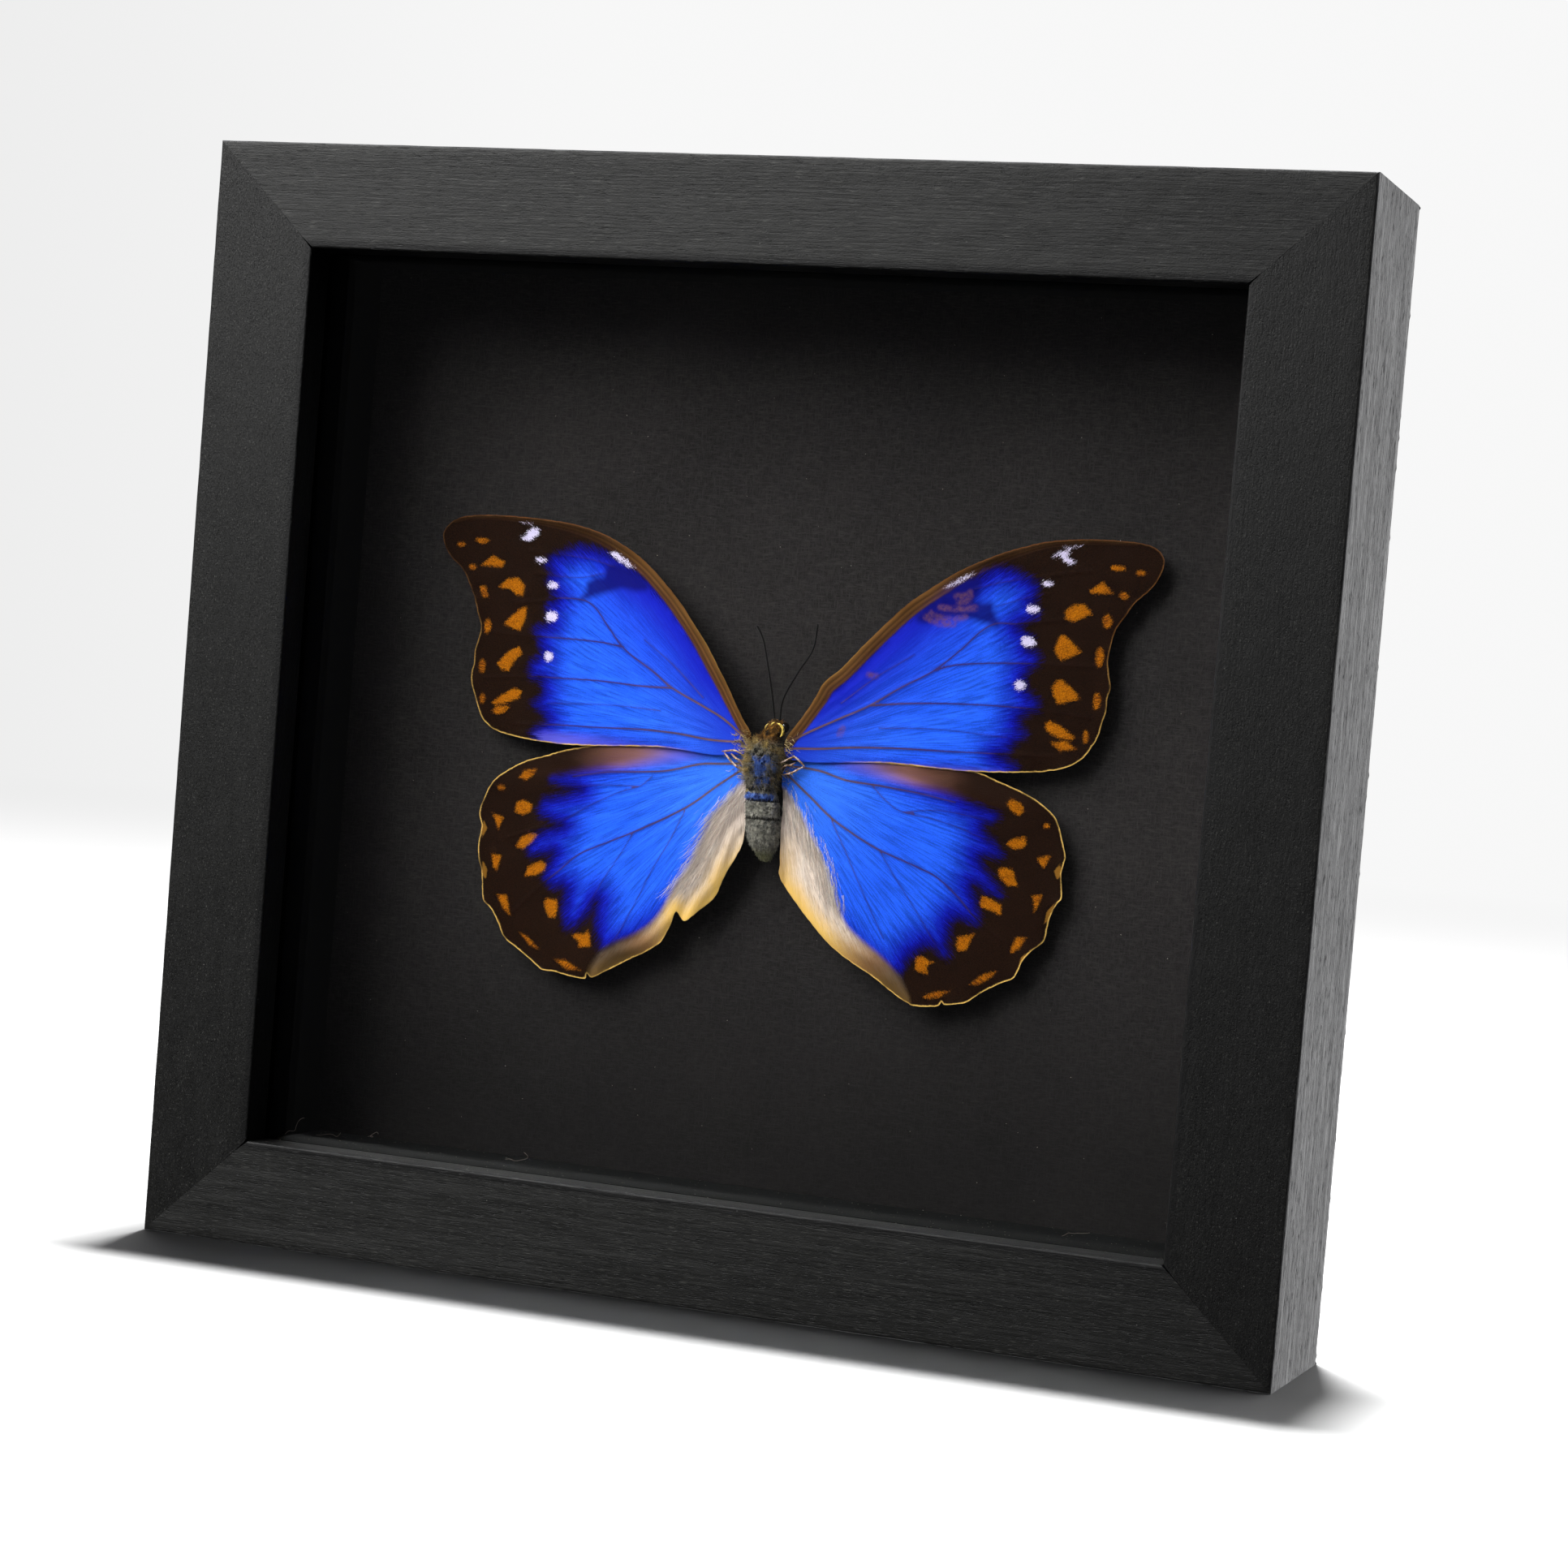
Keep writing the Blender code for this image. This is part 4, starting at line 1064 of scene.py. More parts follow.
def wing_mesh(name, wing, depth, base):
    """A wing blade with its pattern stored as distances in mm, for its finish to read."""
    outline = smooth_path(wing["outline"], SCALE_STEP * 0.9, closed=True)
    ragged = soft(outline, 0.9, 3.0)[:, None] * 0.05
    outward = np.roll(outline, -1, 0) - np.roll(outline, 1, 0)
    outward = np.c_[outward[:, 1], -outward[:, 0]] / np.linalg.norm(outward, axis=1)[:, None]
    outline = outline + outward * ragged
    low, high = outline.min(0), outline.max(0)
    rows = np.arange(low[1], high[1], SCALE_STEP * 0.866)
    columns = np.arange(low[0], high[0], SCALE_STEP)
    shifts = [row % 2 * SCALE_STEP / 2 for row in range(len(rows))]
    mesh_points = np.array([(x + shift, z) for shift, z in zip(shifts, rows) for x in columns])
    mesh_points = mesh_points[depth_inside(mesh_points, outline) > SCALE_STEP * 0.45]
    rim = len(outline)
    creases = [(i, (i + 1) % rim) for i in range(rim)]
    ridges = []
    for line in (*wing["veins"], *wing["hair_veins"]):
        path = smooth_path(line, SCALE_STEP)
        path = path[depth_inside(path, outline) > SCALE_STEP * 0.3]
        first = rim + sum(len(ridge) for ridge in ridges)
        ridges.append(path)
        creases += [(first + i, first + i + 1) for i in range(len(path) - 1)]
    ridges = np.vstack(ridges)
    near_ridge = np.min([np.linalg.norm(mesh_points - point, axis=1) for point in ridges], axis=0)
    mesh_points = mesh_points[near_ridge > SCALE_STEP * 0.45]
    every = [Vector(point) for point in np.vstack((outline, ridges, mesh_points))]
    made = geometry.delaunay_2d_cdt(every, creases, [], 1, 1e-5)
    flat = np.array([tuple(point) for point in made[0]])
    side = 1 if flat[:, 0].mean() > 0 else -1
    x, z = flat[:, 0], flat[:, 1]

    marks = {"edge": distance_to(flat, np.vstack((outline, outline[:1])))}
    marks["field"] = depth_inside(flat, smooth_path(wing["field"], 0.8, closed=True))
    spots = [*wing["orange"], *(oval(*spot) for spot in wing["orange_ovals"])]
    marks["orange"] = deepest(flat, spots)
    marks["white"] = deepest(flat, [*wing["white"], *(oval(*spot) for spot in wing["white_ovals"])])
    marks["vein"] = nearest_vein(flat, wing["veins"], 0.18, 0.07)
    marks["vein"] = np.minimum(marks["vein"], nearest_vein(flat, wing["hair_veins"], 0.04, 0.0))
    reach = np.hypot(x - side * base[0], z - base[1])
    marks["field"] += 6 * np.clip(1 - reach / 14, 0, 1)
    angle = np.arctan2(z - base[1], side * x - base[0])
    marks["reach"] = reach
    pleat = PLEAT_DEPTH * np.sin(angle * PLEAT_COUNT + 2 * soft(flat, 9, 1.0)) * np.clip(reach / 12, 0, 1)
    pleat *= np.clip((52 - reach) / 20, 0, 1)
    drop = depth + WING_SLOPE * np.abs(x) + WING_SAG * soft(flat, 26, depth) + pleat
    drop -= VEIN_RISE * np.exp(-(np.maximum(marks["vein"], 0) / 0.2) ** 2)
    drop += MARGIN_CURL * np.exp(-marks["edge"] / 1.2) * soft(flat, 5, 7.0)
    if "patch" in wing:
        front_edge = wing["outline"][:16]
        across = distance_to(flat, smooth_path(front_edge, 1.0))
        band = np.interp(np.abs(x), (3, 12, 30, 38, 46, 58, 64), (1.5, 2.3, 2.3, 1.8, 1.2, 0.8, 0.5))
        marks["costa"] = across / band
        marks["costa_far"] = across
        marks["patch"] = depth_inside(flat, smooth_path(wing["patch"], 0.6, closed=True))
        rubs = [distance_to(flat, smooth_path(line, 0.5)) for line in wing["rubbed"]]
        marks["rubbed"] = np.min(rubs, axis=0) if rubs else np.full(len(flat), 9.0)
        drop -= COSTA_RISE * np.exp(-((marks["costa"] - 0.25) / 0.3) ** 2)
    else:
        (x1, z1), (x2, z2) = wing["costal"]
        line_z = z1 + (x - x1) * (z2 - z1) / (x2 - x1)
        marks["costa"] = z - line_z
        marks["fold"] = depth_inside(flat, smooth_path(wing["fold"], 0.8, closed=True))
        marks["crescent"] = deepest(flat, wing["crescents"])
        fold = np.clip(marks["fold"], 0, 12)
        drop += 0.1 * fold + 0.014 * fold ** 2 + 0.12 * np.sin(fold * 2.2 + soft(flat, 6, 2.0)) * (fold > 0)
        drop -= 0.25 * np.exp(-(fold / 1.1) ** 2) * np.clip((reach - 5) / 10, 0, 1)
    co = np.c_[x * MM, cad_low.y + drop * MM, face_centre.z + z * MM]

    mesh = bpy.data.meshes.new(name)
    mesh.from_pydata(co.tolist(), [], [list(face) for face in made[2]])
    for label, values in marks.items():
        mesh.attributes.new(label, "FLOAT", "POINT").data.foreach_set("value", values.astype(np.float32))
    corners = np.zeros(len(mesh.loops), np.int32)
    mesh.loops.foreach_get("vertex_index", corners)
    rays = mesh.uv_layers.new(name="rays")
    rays.uv.foreach_set("vector", np.c_[angle * 30, reach][corners].astype(np.float32).ravel())
    mesh.shade_smooth()
    blade = bpy.data.objects.new(name, mesh)
    scene.collection.objects.link(blade)
    thick = blade.modifiers.new("membrane", "SOLIDIFY")
    thick.thickness = WING_THICKNESS
    thick.material_offset = 1
    thick.material_offset_rim = 0
    mesh.materials.append(None)
    mesh.materials.append(None)
    solid = bpy.data.meshes.new_from_object(blade.evaluated_get(bpy.context.evaluated_depsgraph_get()))
    bpy.data.objects.remove(blade)
    solid.name = name
    solid.set_sharp_from_angle(angle=math.radians(60))
    return solid


scales, entry, leave = new_group(
    "wing_scales",
    (("Field", "Float", 0.0), ("Reach", "Float", 20.0), ("Where", "Vector", None), ("Rays", "Vector", None)),
    (("Ground", "Color"), ("Grains", "Float"), ("Streaks", "Float"), ("Blue", "Float"), ("Loose", "Float")),
)
grains = mottle(scales, entry["Where"], 5200.0, 2.0, 0.7)
streaks = mottle(scales, spread(scales, entry["Rays"], (3.2, 0.16, 1.0)), detail=3.0, roughness=0.6)
fine_streaks = mottle(scales, spread(scales, entry["Rays"], (9.0, 0.5, 1.0)), detail=2.0)
shimmer = mottle(scales, entry["Where"], 90.0, 3.0)
jitter = times(scales, less(scales, grains, 0.5), 1.3)
fray = times(scales, less(scales, fine_streaks, 0.5), 3.6)
inner = plus(scales, plus(scales, entry["Field"], jitter), fray)
border = blend(scales, rise(scales, grains, 0.3, 0.7), tint(13, 5, 2), tint(36, 17, 6))
navy = rise(scales, inner, -1.1, 0.5)
cobalt = rise(scales, inner, -0.2, 2.0)
bright = rise(scales, inner, 0.8, 7.0)
near_base = fall(scales, entry["Reach"], 3.0, 26.0)
sky = blend(scales, near_base, tint(34, 88, 228), tint(52, 112, 238))
deep = tint(12, 18, 156)
colour = blend(scales, navy, border, tint(8, 5, 92))
colour = blend(scales, cobalt, colour, deep)
colour = blend(scales, bright, colour, sky)
light = plus(scales, 0.66, times(scales, rise(scales, streaks, 0.3, 0.64), 0.6))
light = times(scales, light, plus(scales, 0.62, times(scales, grains, 0.8)))
light = times(scales, light, plus(scales, 0.88, times(scales, shimmer, 0.24)))
grey = add_node(scales, "ShaderNodeCombineXYZ", {0: light, 1: light, 2: light}).outputs[0]
colour = blend(scales, cobalt, colour, blend(scales, 1.0, colour, grey, "MULTIPLY"))
loose = times(scales, less(scales, grains, 0.5), 0.7)
loose = plus(scales, loose, times(scales, less(scales, fine_streaks, 0.5), 0.5))
results = {"Ground": colour, "Grains": grains, "Streaks": fine_streaks, "Blue": cobalt, "Loose": loose}
fill(scales, leave, results)

marking, entry, leave = new_group(
    "wing_marks",
    (
        ("Ground", "Color", tint(34, 88, 228)), ("Grains", "Float", 0.5), ("Streaks", "Float", 0.5),
        ("Blue", "Float", 1.0), ("Loose", "Float", 0.0), ("Edge", "Float", 9.0), ("Orange", "Float", -9.0),
        ("White", "Float", -9.0), ("Vein", "Float", 9.0), ("Reach", "Float", 20.0),
        ("Where", "Vector", None),
    ),
    (("Colour", "Color"), ("Roughness", "Float"), ("Height", "Float")),
)
grains, streaks, loose, blue = (entry[label] for label in ("Grains", "Streaks", "Loose", "Blue"))
# Orange spots, fainter along the margin, and chalk-white ones
spot = rise(marking, plus(marking, entry["Orange"], times(marking, loose, 1.7)), -0.25, 0.4)
amber = blend(marking, rise(marking, grains, 0.3, 0.7), tint(126, 66, 1), tint(194, 114, 6))
dim = plus(marking, 0.4, fall(marking, entry["Edge"], 1.8, 4.2))
faint = times(marking, rise(marking, streaks, 0.48, 0.64), dim, clamp=True)
amber = blend(marking, faint, amber, tint(98, 50, 8))
colour = blend(marking, times(marking, spot, 0.95), entry["Ground"], amber)
white = rise(marking, plus(marking, entry["White"], times(marking, loose, 2.4)), -0.1, 0.45)
chalk = blend(marking, grains, tint(168, 152, 206), tint(240, 230, 246))
colour = blend(marking, white, colour, chalk)
# Veins, bare along the ridge and dark beside it
bared = plus(marking, entry["Vein"], times(marking, loose, 0.08))
beside = times(marking, times(marking, fall(marking, bared, 0.0, 0.45), 0.3), blue)
colour = blend(marking, beside, colour, tint(12, 8, 60))
ridge = blend(marking, blue, tint(30, 14, 8), tint(54, 40, 96))
ridge = blend(marking, rise(marking, entry["Reach"], 30.0, 6.0), ridge, tint(98, 72, 60))
colour = blend(marking, times(marking, fall(marking, bared, -0.06, 0.08), 0.92), colour, ridge)
# The gold rim: a painted highlight where the wing edge catches light, dull towards the front edge
# Painted highlight along the wing edge
rim = fall(marking, plus(marking, entry["Edge"], times(marking, loose, 0.35)), 0.02, 0.3)
rim = times(marking, rim, rise(marking, entry["Reach"], 9.0, 24.0))
up = axis_of(marking, entry["Where"], 2)
dull = rise(marking, up, face_centre.z - 8 * MM, face_centre.z + 24 * MM)
gold_highlight = blend(marking, dull, tint(214, 170, 90), tint(92, 58, 28))
patchy = rise(marking, mottle(marking, entry["Where"], 420.0, 3.0), 0.3, 0.6)
rim = times(marking, rim, plus(marking, 0.35, patchy), clamp=True)
colour = blend(marking, rim, colour, gold_highlight)
rough = plus(marking, less(marking, 0.66, times(marking, blue, 0.2)), times(marking, loose, 0.2))
height = plus(marking, times(marking, grains, 0.5), times(marking, streaks, 0.7))
fill(marking, leave, {"Colour": colour, "Roughness": rough, "Height": height})


def wing_finish(name, fore):
    """Overlapping scales: blue field, dark border, spots, veins, and a gold rim that is a painted highlight
    along the edge.
    """
    finish, tree, shader, coordinates = new_finish(name, Specular_IOR_Level=0.03)
    rays = add_node(tree, "ShaderNodeUVMap", uv_map="rays").outputs[0]
    edge, reach, costa = (read(tree, label) for label in ("edge", "reach", "costa"))
    inputs = {"Field": read(tree, "field"), "Reach": reach, "Where": coordinates, "Rays": rays}
    layer = use_group(tree, scales, inputs)
    colour, streaks, loose = layer["Ground"], layer["Streaks"], layer["Loose"]
    if fore:
        far = read(tree, "costa_far")
        ragged = plus(tree, far, times(tree, streaks, 5.0))
        toward = fall(tree, ragged, 4.0, 21.0)
        toward = times(tree, toward, layer["Blue"])
        inland = fall(tree, reach, 36.0, 44.0)
        toward = times(tree, toward, inland)
        colour = blend(tree, times(tree, toward, 0.85), colour, tint(20, 30, 178))
        patch = plus(tree, read(tree, "patch"), loose)
        shadow = rise(tree, patch, -1.1, 0.5)
        colour = blend(tree, times(tree, shadow, 0.92), colour, tint(8, 8, 100))
        low_z = axis_of(tree, coordinates, 2)
        violet = fall(tree, less(tree, low_z, face_centre.z - 3.4 * MM), 0.0, 2.2 * MM)
        outer = rise(tree, reach, 14.0, 36.0)
        violet = times(tree, times(tree, violet, outer), layer["Blue"])
        colour = blend(tree, times(tree, violet, 0.75), colour, tint(98, 92, 205))
        rub = less(tree, plus(tree, read(tree, "rubbed"), times(tree, loose, 0.5)), 0.02)
        bare = fall(tree, rub, 0.05, 0.85)
        thin = mottle(tree, spread(tree, rays, (1.6, 1.1, 1.0)), detail=5.0, roughness=0.65)
        bare = times(tree, bare, rise(tree, thin, 0.26, 0.7))
        colour = blend(tree, times(tree, bare, 0.85), colour, tint(104, 66, 82))
        stripe = plus(tree, costa, times(tree, loose, 0.12))
        costal = ramp(
            tree, stripe, (0.0, tint(110, 76, 34)), (0.2, tint(92, 60, 28)), (0.36, tint(74, 48, 24)),
            (0.48, tint(106, 72, 38)), (0.66, tint(66, 40, 24)), (0.82, tint(86, 54, 34)),
            (1.0, tint(36, 20, 24)),
        )
        band = fall(tree, stripe, 0.86, 1.08)
        fades = less(tree, 1.0, times(tree, rise(tree, reach, 32.0, 48.0), 0.8))
        colour = blend(tree, times(tree, band, fades), colour, costal)
    else:
        across = axis_of(tree, coordinates, 0)
        along = sums(tree, "DIVIDE", sums(tree, "ABSOLUTE", across), 46 * MM)
        along = plus(tree, along, times(tree, loose, 0.05))
        wash = ramp(
            tree, along, (0.2, tint(64, 88, 226)), (0.38, tint(100, 96, 206)), (0.5, tint(142, 108, 158)),
            (0.58, tint(146, 100, 88)), (0.67, tint(88, 54, 36)), (0.8, tint(42, 22, 12)),
        )
        band = rise(tree, plus(tree, costa, times(tree, loose, 0.9)), -0.2, 2.4)
        upper = rise(tree, plus(tree, costa, along), 1.6, 3.4)
        brown = blend(tree, rise(tree, along, 0.5, 0.82), tint(122, 82, 66), tint(34, 18, 10))
        wash = blend(tree, times(tree, upper, rise(tree, along, 0.3, 0.55)), wash, brown)
        fades = fall(tree, along, 0.94, 1.1)
        band = times(tree, times(tree, band, rise(tree, along, 0.1, 0.32)), fades)
        colour = blend(tree, times(tree, band, 0.92), colour, wash)
        fold = plus(tree, read(tree, "fold"), times(tree, loose, 0.8))
        bare = rise(tree, fold, -0.35, 0.9)
        hem = fall(tree, plus(tree, edge, times(tree, streaks, 2.4)), 1.0, 5.6)
        skin = blend(tree, rise(tree, reach, 2.0, 14.0), tint(172, 152, 152), tint(214, 192, 176))
        veil = mottle(tree, spread(tree, rays, (2.2, 0.22, 1.0)), detail=3.0)
        skin = blend(tree, rise(tree, veil, 0.42, 0.62), skin, tint(232, 214, 200))
        # Darker lines across the fold are painted shade in its creases
        crease_painted_shade = mottle(tree, spread(tree, rays, (7.0, 0.6, 1.0)), detail=3.0)
        skin = blend(tree, times(tree, rise(tree, crease_painted_shade, 0.5, 0.66), 0.6), skin, tint(138, 112, 102))
        lower = rise(tree, reach, 9.0, 21.0)
        skin = blend(tree, times(tree, hem, lower), skin, tint(230, 182, 92))
        outer = rise(tree, plus(tree, reach, times(tree, loose, 3.5)), 27.0, 37.0)
        stain = blend(tree, rise(tree, reach, 33.0, 41.0), tint(124, 84, 56), tint(46, 26, 14))
        skin = blend(tree, times(tree, outer, 0.9), skin, stain)
        colour = blend(tree, bare, colour, skin)
        crescent = rise(tree, plus(tree, read(tree, "crescent"), times(tree, loose, 0.4)), -0.1, 0.2)
        colour = blend(tree, times(tree, crescent, 0.7), colour, tint(150, 102, 34))
    inputs = {label: layer[label] for label in ("Grains", "Streaks", "Blue", "Loose")}
    inputs |= {label: read(tree, label.lower()) for label in ("Orange", "White", "Vein")}
    inputs |= {"Ground": colour, "Edge": edge, "Reach": reach, "Where": coordinates}
    marks = use_group(tree, marking, inputs)
    tree.links.new(marks["Colour"], shader.inputs["Base Color"])
    tree.links.new(marks["Roughness"], shader.inputs["Roughness"])
    roughen(tree, shader, marks["Height"], 0.05 * MM, 0.55)
    return finish


def underside_finish():
    """Brown scales on the side that lies towards the card."""
    finish, tree, shader, coordinates = new_finish("brown_underside", Specular_IOR_Level=0.1, Roughness=0.7)
    grains = mottle(tree, coordinates, 5200.0, 2.0)
    cloud = mottle(tree, coordinates, 160.0, 4.0)
    share = plus(tree, times(tree, grains, 0.4), times(tree, cloud, 0.6))
    shade = ramp(
        tree, share, (0.36, tint(70, 50, 34)), (0.52, tint(118, 92, 62)), (0.68, tint(164, 138, 98))
    )
    line = fall(tree, read(tree, "vein"), 0.0, 0.2)
    shade = blend(tree, times(tree, line, 0.7), shade, tint(58, 40, 28))
    eye = sums(tree, "ABSOLUTE", less(tree, read(tree, "orange"), 0.1))
    shade = blend(tree, fall(tree, eye, 0.1, 0.4), shade, tint(196, 160, 96))
    tree.links.new(shade, shader.inputs["Base Color"])
    roughen(tree, shader, grains, 0.04 * MM, 0.5)
    return finish


underside = underside_finish()
blue_forewing = wing_finish("blue_forewing", True)
blue_hindwing = wing_finish("blue_hindwing", False)
for name, wing, depth_mm, base in (
    ("forewing_left", FOREWING_LEFT, FOREWING_DEPTH, FORE_BASE),
    ("forewing_right", FOREWING_RIGHT, FOREWING_DEPTH, FORE_BASE),
    ("hindwing_left", HINDWING_LEFT, HINDWING_DEPTH, HIND_BASE),
    ("hindwing_right", HINDWING_RIGHT, HINDWING_DEPTH, HIND_BASE),
):
    fore = "fore" in name
    mesh = wing_mesh("scaled_" + name, wing, depth_mm, base)
    slot = "blue_forewing" if fore else "blue_hindwing"
    add_piece("scaled_" + name, mesh, [blue_forewing if fore else blue_hindwing, underside], slot, name)

# ---------------------------------------------------------------------------
# Body
# Head, thorax and abdomen of the dried butterfly in one skin, dimpled where the
# pin goes in. Blue-grey scales, brown hair and grey down cover it, and tan tufts
# hide the joints where the wings are hinged to it.
# ---------------------------------------------------------------------------
BODY_STATIONS = (
    (1.3, 21.9, -20.8, 0.2, 0.2), (1.25, 21.8, -20.3, 0.75, 0.7), (1.1, 21.6, -19.4, 1.35, 1.2),
    (1.0, 21.4, -18.3, 2.1, 1.7), (0.85, 21.2, -17, 2.6, 2.1), (0.65, 20.9, -14, 2.95, 2.4),
    (0.4, 20.5, -11, 2.85, 2.4), (0.35, 20.1, -9.4, 2.7, 2.3), (0.3, 19.9, -8.4, 2.45, 2.1),
    (0.3, 19.6, -6.6, 2.6, 2.5),
    (0.35, 19.4, -3.6, 2.95, 2.9), (0.6, 19.5, -1.2, 2.45, 2.6), (1.05, 20, 0.2, 1.65, 1.9),
    (1.5, 20.5, 1.3, 1.75, 1.7), (1.75, 20.8, 2.3, 1.5, 1.4), (1.85, 20.9, 3.1, 0.8, 0.8),
    (1.9, 20.95, 3.4, 0.2, 0.2),
)
BODY_GROOVES = (
    (-8.4, 0.3, 0.3), (-10.35, 0.22, 0.22), (-13.4, 0.12, 0.2), (-16, 0.1, 0.2), (-18.2, 0.1, 0.18),
)
GROOVE_SHADOW = 0.16
PIN_PLACE = (0.9, -2.7)
SLANT = 0.42
BLUE_PATCHES = (
    (0.75, -3.3, 0.9), (-0.4, -4.3, 1.1), (-1.3, -3.3, 0.6), (-0.4, -5.6, 0.95), (0.5, -4.9, 0.6),
    (1.0, -6.8, 0.8), (-0.4, -7.2, 0.6), (1.9, -4.4, 0.4), (-1.9, -9.7, 0.7), (-0.9, -9.8, 0.8),
    (0.2, -9.85, 0.8), (1.2, -9.8, 0.8), (2.2, -9.7, 0.7),
)
GOLD_PATCHES = (
    (-2.6, -1.3, 1.1), (-1.5, -0.3, 0.8), (-2.7, -3.4, 0.9), (-2.9, -5.4, 0.9), (3.1, -1.7, 1.0),
    (3.9, -3.4, 1.2), (3.3, -5.5, 1.0), (-2.4, -8.5, 0.7), (3.1, -8.0, 0.7),
    (0.4, -0.9, 0.8), (1.7, -1.4, 0.7), (2.0, -6.6, 0.5),
)
DARK_PATCHES = (
    (-0.3, -2.7, 0.42), (2.4, -5.4, 0.7), (-1.9, -5.2, 0.5), (2.9, -7, 0.7), (0.1, -6.4, 0.4),
    (1.7, -8.3, 0.5), (0.6, -8.35, 0.4), (-1.6, -8.35, 0.7), (3, -0.4, 0.9), (0.3, -4.1, 0.35),
    (1.6, -2.6, 0.35), (1.4, -6, 0.35), (-1.2, -2, 0.4), (2.9, 0.6, 0.7), (0.6, 1.0, 0.5),
    (1.9, -1.2, 0.4), (-1.8, -3.9, 0.4), (2.6, -3.9, 0.4), (-0.9, -6.5, 0.35), (1.9, -7.4, 0.35),
)
section_sides = 72
stations = smooth_path(BODY_STATIONS, 0.16)
around = np.linspace(0, 2 * np.pi, section_sides, endpoint=False)
bm = bmesh.new()
marks = {label: bm.verts.layers.float.new(label) for label in ("blue", "gold", "dark", "fur")}
rings = []
for cx, back, height, half_wide, half_deep in stations:
    groove = sum(depth * math.exp(-((height - z) / wide) ** 2) for z, depth, wide in BODY_GROOVES)
    ring = []
    for turn in around:
        lobe = noise.noise(Vector((2 * math.cos(turn), 2 * math.sin(turn), height * 0.6)))
        pit = noise.noise(Vector((5 * math.cos(turn), 5 * math.sin(turn), height * 2.2 + 9)))
        swell = (0.3 * lobe + 0.2 * pit) * min(1.0, half_wide / 1.5) - groove * min(1.0, half_wide)
        x = cx + (half_wide + swell) * math.cos(turn)
        y = back + (half_deep + swell) * math.sin(turn)
        laid_x = x - (FOREWING_DEPTH - y) * SLANT
        dimple = math.hypot(x - PIN_PLACE[0], height - PIN_PLACE[1]) if y < back else 9.0
        y += 0.7 * math.exp(-(dimple / 0.34) ** 2)
        vert = bm.verts.new((x * MM, cad_low.y + y * MM, face_centre.z + height * MM))
        for label, patches in (("blue", BLUE_PATCHES), ("gold", GOLD_PATCHES), ("dark", DARK_PATCHES)):
            near = max(1 - math.hypot(laid_x - px, height - pz) / size for px, pz, size in patches)
            # Darkening along the grooves between the body's segments is painted shade
            if label == "dark":
                nearest = min(abs(height - z) for z, depth, wide in BODY_GROOVES[:3])
                near = max(near, 1.1 * math.exp(-(nearest / GROOVE_SHADOW) ** 2))
            vert[marks[label]] = near
        vert[marks["fur"]] = max(0.0, min(1.0, (dimple - 0.3) * 2)) * (0.35 if height < -8.6 else 1.0)
        ring.append(vert)
    rings.append(ring)
body_mesh = skinned("furred_body", bm, rings)


body_coat, entry, leave = new_group(
    "body_coat", (("Where", "Vector", None), ("Tone", "Float", 0.5)), (("Colour", "Color"),)
)
where = entry["Where"]
clumps = rise(body_coat, mottle(body_coat, where, 1250.0, 4.0, 0.7), 0.38, 0.62)
tone = plus(body_coat, times(body_coat, entry["Tone"], 0.4), times(body_coat, clumps, 0.6))
jitter = less(body_coat, mottle(body_coat, where, 2300.0, 3.0), 0.5)
height = axis_of(body_coat, where, 2)
fore = rise(body_coat, height, face_centre.z - 9.2 * MM, face_centre.z - 8.0 * MM)
down = blend(body_coat, tone, tint(96, 94, 90), tint(186, 180, 166))
pelt = blend(body_coat, tone, tint(40, 34, 29), tint(188, 178, 158))
colour = blend(body_coat, fore, down, pelt)
amber = rise(body_coat, height, face_centre.z - 1.6 * MM, face_centre.z + 0.4 * MM)
colour = blend(body_coat, amber, colour, blend(body_coat, tone, tint(44, 26, 7), tint(164, 112, 38)))
tail = fall(body_coat, height, face_centre.z - 20.2 * MM, face_centre.z - 18.0 * MM)
colour = blend(body_coat, times(body_coat, tail, 0.7), colour, tint(132, 130, 78))
for label, low, high, start, cover in (
    ("gold", (96, 66, 22), (226, 194, 116), 0.02, 0.9),
    ("blue", (20, 52, 150), (96, 148, 246), 0.02, 0.9),
    ("dark", (14, 9, 7), (14, 9, 7), -0.05, 0.92),
):
    place = rise(body_coat, plus(body_coat, read(body_coat, label), jitter), start, 0.3)
    patch = blend(body_coat, tone, tint(*low), tint(*high))
    colour = blend(body_coat, times(body_coat, place, cover), colour, patch)
fill(body_coat, leave, {"Colour": colour})

skin, tree, shader, coordinates = new_finish("body_skin", Roughness=0.8, Specular_IOR_Level=0.2)
tone = mottle(tree, coordinates, 3000.0, 4.0, 0.7)
scaly = use_group(tree, body_coat, {"Where": coordinates, "Tone": rise(tree, tone, 0.34, 0.66)})
tree.links.new(scaly["Colour"], shader.inputs["Base Color"])
roughen(tree, shader, tone, 0.4 * MM, 1.0)
add_piece("furred_body", body_mesh, [skin], "grey_body", "body")

fur, entry, leave = new_geometry("fur", (
    ("Density", "Float"), ("Length", "Float"), ("Radius", "Float"), ("Comb", "Vector"), ("Stand", "Float"),
    ("Ruffle", "Float"), ("Seed", "Int"), ("Finish", "Material"),
))
weight = add_node(fur, "GeometryNodeInputNamedAttribute", {"Name": "fur"}, data_type="FLOAT").outputs[0]
facing = axis_of(fur, add_node(fur, "GeometryNodeInputNormal").outputs[0], 1)
shown = sums(fur, "LESS_THAN", facing, 0.45)
density = times(fur, times(fur, weight, shown), entry["Density"])
inputs = {"Mesh": entry["Geometry"], "Density": density, "Seed": entry["Seed"]}
roots = add_node(fur, "GeometryNodeDistributePointsOnFaces", inputs)
tone = add_node(fur, "FunctionNodeRandomValue", {"Seed": entry["Seed"]}).outputs[1]
inputs = {"Geometry": roots.outputs[0], "Name": "tone", "Value": tone}
marked = add_node(fur, "GeometryNodeStoreNamedAttribute", inputs)
